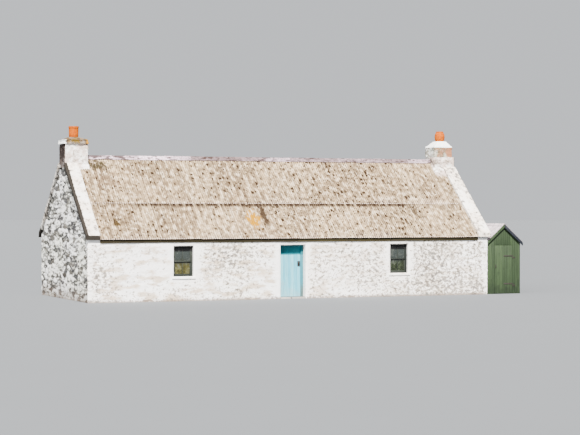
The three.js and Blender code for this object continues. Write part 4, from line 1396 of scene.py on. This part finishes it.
def door_knob():
    """A round iron knob on a rose, turned to face the front, over a lock plate."""
    low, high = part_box("door_latch")
    middle_x, middle_z = (low.x + high.x) / 2, (low.z + high.z) / 2
    obj = turned("door_knob", KNOB, BLACK_IRON)
    x, y, z = points_of(obj).T
    place_points(obj, x + middle_x, high.y - z, y + middle_z)
    on_body(obj, "front_door", "iron", "door_latch")
    plate, face = Joinery(9), high.y + 0.0008
    for wide, front, back, below, above in (
        (0.05, 0.004, 0.0, 0.12, 0.07),
        (0.012, 0.006, 0.0045, 0.09, -0.05),
    ):
        zs = (middle_z - below, middle_z + above)
        plate.bar((middle_x - wide, middle_x + wide), (face - front, face - back), zs)
    plate.made("door_lock_plate", BLACK_IRON, "front_door", "iron", bevel=0.001)


def eaves_board(way):
    """Dark boards under the lowest sheets, end to end; their dark paint also stands in for the shadow
    under the eaves.
    """
    node = way + "_eaves_board"
    low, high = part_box(node)
    joinery = Joinery(17)
    stops = np.linspace(low.x, high.x, 5)
    for left, right in zip(stops, stops[1:]):
        foot = low.z + joinery.chance.uniform(0, 0.006)
        joinery.bar((left + 0.001, right - 0.001), (low.y, high.y), (foot, high.z))
    joinery.made(node + "s", PAINT["eaves board"], "cottage", "timber", node, bevel=0.002)


# The outhouse

SHED_MIDDLE = (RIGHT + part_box("outhouse_back_wall")[1].x) / 2
SHED_LOW, SHED_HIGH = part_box("outhouse_roof_left")
SHED_RIDGE = SHED_HIGH.z
SHED_FACE = SHED_LOW.y + 0.08
SHED_PITCH = math.radians(41)
SHED_SHEETS = 4

# How thick its roof is, its boards and its posts, and how far behind the boards' face the posts start
SHED_ROOF = 0.022
BOARD = 0.02
POST = 0.045
BEHIND = BOARD + 0.0005


def shed_roof_at(x, below=0.0):
    return SHED_RIDGE - abs(x - SHED_MIDDLE) * math.tan(SHED_PITCH) - below / math.cos(SHED_PITCH)


def upright_boards(joinery, stops, ys, foot):
    """Boards side by side up to the slope of the outhouse roof."""
    for left, right in zip(stops, stops[1:]):
        edges = (left + 0.0015, right - 0.0015)
        heads = [shed_roof_at(x, SHED_ROOF) - 0.003 for x in edges]
        depth = joinery.chance.uniform(0, 0.002)
        joinery.board(edges, (ys[0] + depth, ys[1]), foot + joinery.chance.uniform(0, 0.006), heads)


def shed_boards(joinery, place, *nodes, body="cottage", paint_of="outhouse"):
    """Finishes a piece of the outhouse's boards."""
    name = f"outhouse_{place}_boards"
    joinery.made(name, PAINT[paint_of], body, "outhouse_paint", *nodes, bevel=0.002)


def shed_front():
    low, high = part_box("outhouse_front")
    door_low, door_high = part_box("outhouse_door")
    door_left, head = door_low.x - 0.006, door_high.z + 0.006
    door_right = 2 * SHED_MIDDLE - door_left
    joinery = Joinery(21)
    ys = (SHED_FACE, SHED_FACE + BOARD)
    upright_boards(joinery, np.linspace(low.x, door_left, 4), ys, 0.0)
    upright_boards(joinery, np.linspace(door_right, high.x, 4), ys, 0.0)
    upright_boards(joinery, np.linspace(door_left, door_right, 9), ys, head)
    ys = (SHED_FACE + BEHIND, high.y)
    for left in (low.x, door_left - POST, door_right, high.x - POST):
        xs = (left, left + POST)
        joinery.board(xs, ys, 0.0, [shed_roof_at(x, SHED_ROOF) - 0.004 for x in xs])
    joinery.bar((door_left, door_right), ys, (head, head + 0.06))
    shed_boards(joinery, "front", "outhouse_front")


def shed_back():
    low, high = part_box("outhouse_back_wall")
    joinery = Joinery(22)
    upright_boards(joinery, np.linspace(low.x, high.x, 15), (high.y - BOARD, high.y), 0.0)
    for foot in (0.25, 1.0, 1.75):
        joinery.bar((low.x, high.x), (low.y, high.y - BOARD - 0.0025), (foot, foot + 0.07))
    shed_boards(joinery, "back", "outhouse_back_wall")


def shed_side(side):
    """Boards on the outside of a long wall, on three rails."""
    node = f"outhouse_{side}_wall"
    low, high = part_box(node)
    outer, inner = (low.x, high.x) if side == "left" else (high.x, low.x)
    inward = -ENDS[side]
    joinery = Joinery(23)
    stops = np.linspace(low.y, high.y, 20)
    for near, far in zip(stops, stops[1:]):
        xs = sorted((outer + inward * joinery.chance.uniform(0, 0.002), outer + inward * BOARD))
        zs = (joinery.chance.uniform(0, 0.006), high.z)
        joinery.bar(xs, (near + 0.0015, far - 0.0015), zs)
    for foot in (0.2, 1.0, high.z - 0.07):
        xs = sorted((outer + inward * BEHIND, inner))
        joinery.bar(xs, (low.y, high.y), (foot, foot + 0.07))
    shed_boards(joinery, side, node)


def shed_door():
    """A boarded door on two ledges and a brace, with its hinges and its pull."""
    low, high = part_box("outhouse_door")
    hinge = (high.x - KNUCKLE, low.y + KNUCKLE)
    left, right = low.x, hinge[0] - 0.003
    joinery = Joinery(24)
    stops = np.linspace(left, right, 8)
    for start, end in zip(stops, stops[1:]):
        ys = (SHED_FACE + joinery.chance.uniform(0, 0.0015), SHED_FACE + BOARD)
        joinery.bar((start + 0.001, end - 0.001), ys, (low.z, high.z))
    ys = (SHED_FACE + BEHIND, high.y)
    for z in (0.36, 1.36):
        joinery.bar((left + 0.03, right - 0.03), ys, (z - LEDGE / 2, z + LEDGE / 2))
    brace = ((right - 0.16, left + 0.05), (right - 0.05, left + 0.16))
    joinery.six_sided([(x, y, z) for ends in brace for y in ys for x, z in zip(ends, (0.42, 1.3))])
    shed_boards(joinery, "door", "outhouse_door", body="shed_door")
    reaches, bodies = (-0.36, 0.11), ("shed_door", "cottage")
    hinge_halves("outhouse_door", hinge, (0.33, 1.33), SHED_FACE, reaches, bodies, BLACK_IRON)
    pull = Joinery(6)
    for near, far, front, back, foot, head in (
        (0.03, 0.055, STRAP, 0.0002, 0.92, 1.06),
        (0.037, 0.047, 0.028, STRAP, 0.945, 0.958),
        (0.037, 0.047, 0.028, STRAP, 1.022, 1.035),
        (0.036, 0.048, 0.036, 0.027, 0.94, 1.04),
    ):
        pull.bar((left + near, left + far), (SHED_FACE - front, SHED_FACE - back), (foot, head))
    pull.made("outhouse_door_pull", BLACK_IRON, "shed_door", "iron", bevel=0.0015)


def shed_roof(side):
    """Corrugated sheets down one slope of the outhouse, with a barge board at each verge."""
    node = "outhouse_roof_" + side
    low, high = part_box(node)
    outward = ENDS[side]
    outer = low.x if side == "left" else high.x
    reach = abs(outer - SHED_MIDDLE) / math.cos(SHED_PITCH)
    cover = (high.y - low.y) / SHED_SHEETS
    rows = np.linspace(0.004, reach - 0.001, 6)
    obj = corrugated(node + "_corrugated", SHED_SHEETS_LOOK, rows, cover, **SHED_ROOF_SHEET)
    shift, twist = (0.001, 0.0, 0.0004), (0.0002, 0.0, 0.0008)
    laid(obj, SHED_SHEETS, (cover, 0, 0), shift, twist, seed=61)
    along, down, height = points_of(obj).T
    along = np.clip(along + low.y, low.y, high.y)
    out, up = on_slope(np.clip(down, 0.001, reach), 0.001 - height, SHED_RIDGE, SHED_PITCH)
    place_points(obj, SHED_MIDDLE + outward * np.maximum(out, 0.001), along, up)
    turned_out(obj.data)
    on_body(obj, "cottage", "outhouse_sheet", node, sharp=50)

    barge = Joinery(31)
    ends = sorted((SHED_MIDDLE + outward * 0.001, outer))
    tops = [(x, shed_roof_at(x, 0.021)) for x in ends]
    for ys in ((low.y + 0.004, low.y + 0.024), (high.y - 0.024, high.y - 0.004)):
        barge.six_sided([(x, y, z) for x, top in tops for y in ys for z in (top - 0.11, top)])
    shed_boards(barge, side + "_barge", paint_of="barge board" if side == "right" else "outhouse")


def shed_ridge():
    """A folded strip over the ridge of the outhouse."""
    wing = 0.09
    foot = 0.003 - wing * math.tan(SHED_PITCH)
    line = [(-wing, foot), (-0.012, 0.002), (0.0, 0.006), (0.012, 0.002), (wing, foot)]
    stations = np.linspace(SHED_LOW.y, SHED_HIGH.y, 6)
    obj = sheeting("outhouse_ridge_strip", line, stations, 0.0015, SHED_SHEETS_LOOK)
    x, y, z = points_of(obj).T
    place_points(obj, x + SHED_MIDDLE, y, z + SHED_RIDGE)
    turned_out(obj.data)
    paint(obj, tone=0.7)
    on_body(obj, "cottage", "outhouse_sheet", sharp=30)


# Lighting, floor and camera

# Each lamp's direction from the cottage, strength, width in degrees and colour
LAMPS = {
    "key": ((-0.32, -1.0, 1.17), 19.5, 4, (1.0, 0.96, 0.90)),
    "fill": ((-1.0, -0.6, 0.7), 3.4, 60, (0.95, 0.97, 1.0)),
}
DOME = (0.75, 0.775, 0.81)
CAMERA_AT = (-22.35, -55.49, 3.05)
CAMERA_AIM = (0.55, -1.0, 2.75)
FLOOR_RADIUS = 400


def light_scene():
    sky = bpy.data.worlds.new("pale studio")
    sky.use_nodes = True
    tree = Tree(sky.node_tree)
    sky.node_tree.nodes.clear()
    dome = tree.node("ShaderNodeBackground", {}, {"Color": (*DOME, 1), "Strength": 1.0})
    tree.node("ShaderNodeOutputWorld", {}, {"Surface": dome["Background"]})
    bpy.context.scene.world = sky
    for name, (towards, energy, width, color) in LAMPS.items():
        light = bpy.data.lights.new(name, "SUN")
        light.energy, light.angle, light.color = energy, math.radians(width), color
        placed(name, light).rotation_euler = Vector(towards).to_track_quat("Z", "Y").to_euler()


def lay_floor():
    turn = np.linspace(0, 2 * math.pi, 64, False)
    mesh = bpy.data.meshes.new("studio_floor")
    rim = [(FLOOR_RADIUS * math.cos(a), FLOOR_RADIUS * math.sin(a), 0) for a in turn]
    mesh.from_pydata(rim, [], [range(64)])
    object_of("studio_floor", mesh, floor_finish())


def set_camera():
    view = bpy.data.cameras.new("camera")
    view.lens, view.sensor_width, view.clip_end = 104, 36, 1000
    camera = placed("camera", view)
    camera.location = CAMERA_AT
    towards = Vector(CAMERA_AIM) - camera.location
    camera.rotation_euler = towards.to_track_quat("-Z", "Y").to_euler()
    bpy.context.scene.camera = camera


light_scene()
lay_floor()
set_camera()

doorway = (DOOR_LEFT, 0.0, DOOR_RIGHT, OPENING_HEAD)
windows = {place: opening_of(place + "_window_frame") for place in ("front_left", "front_right", "back")}
wall_length("front_wall_left", -1, [windows["front_left"]], [doorway])
wall_length("front_wall_right", -1, [windows["front_right"]], [doorway])
wall_length("front_wall_over_door", -1, [], [doorway])
wall_length("back_wall", 1, [windows["back"]], [])
gable("left", 1.0)
gable("right", 0.6)
for side in ENDS:
    for way in SLOPES:
        skew(side, way)
        mortar(side, way)
    stack(side)
    pot(side)
    cope(side)
for seed, way in enumerate(SLOPES):
    roof_course(way, "upper", 31 + seed)
    roof_course(way, "lower", 41 + seed)
    roof_bolts(way)
    eaves_board(way)
ridge_cap()

door_frame()
front_door()
door_knob()
leaf_low, leaf_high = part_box("door_leaf")
hinge_at = (leaf_low.x + KNUCKLE, leaf_high.y - KNUCKLE)
leaf_back = leaf_low.y + LEAF
reaches, bodies = (0.4, -0.045), ("front_door", "cottage")
hinge_halves("front_door", hinge_at, HINGE_HEIGHTS, leaf_back, reaches, bodies, IRON)
for place in windows:
    window(place, 1 if place == "back" else -1)

shed_front()
shed_back()
shed_door()
for side in ENDS:
    shed_side(side)
    shed_roof(side)
shed_ridge()

timber = timber_finish("roof timber", (2.2, 40.0, 40.0))
rafters = timber_finish("rafter timber", (40.0, 3.0, 3.0))
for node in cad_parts:
    if "purlin" in node or node == "ridge_tree":
        refinished(node, timber)
    if "couple" in node:
        refinished(node, rafters)
refinished("floor", flag_finish())
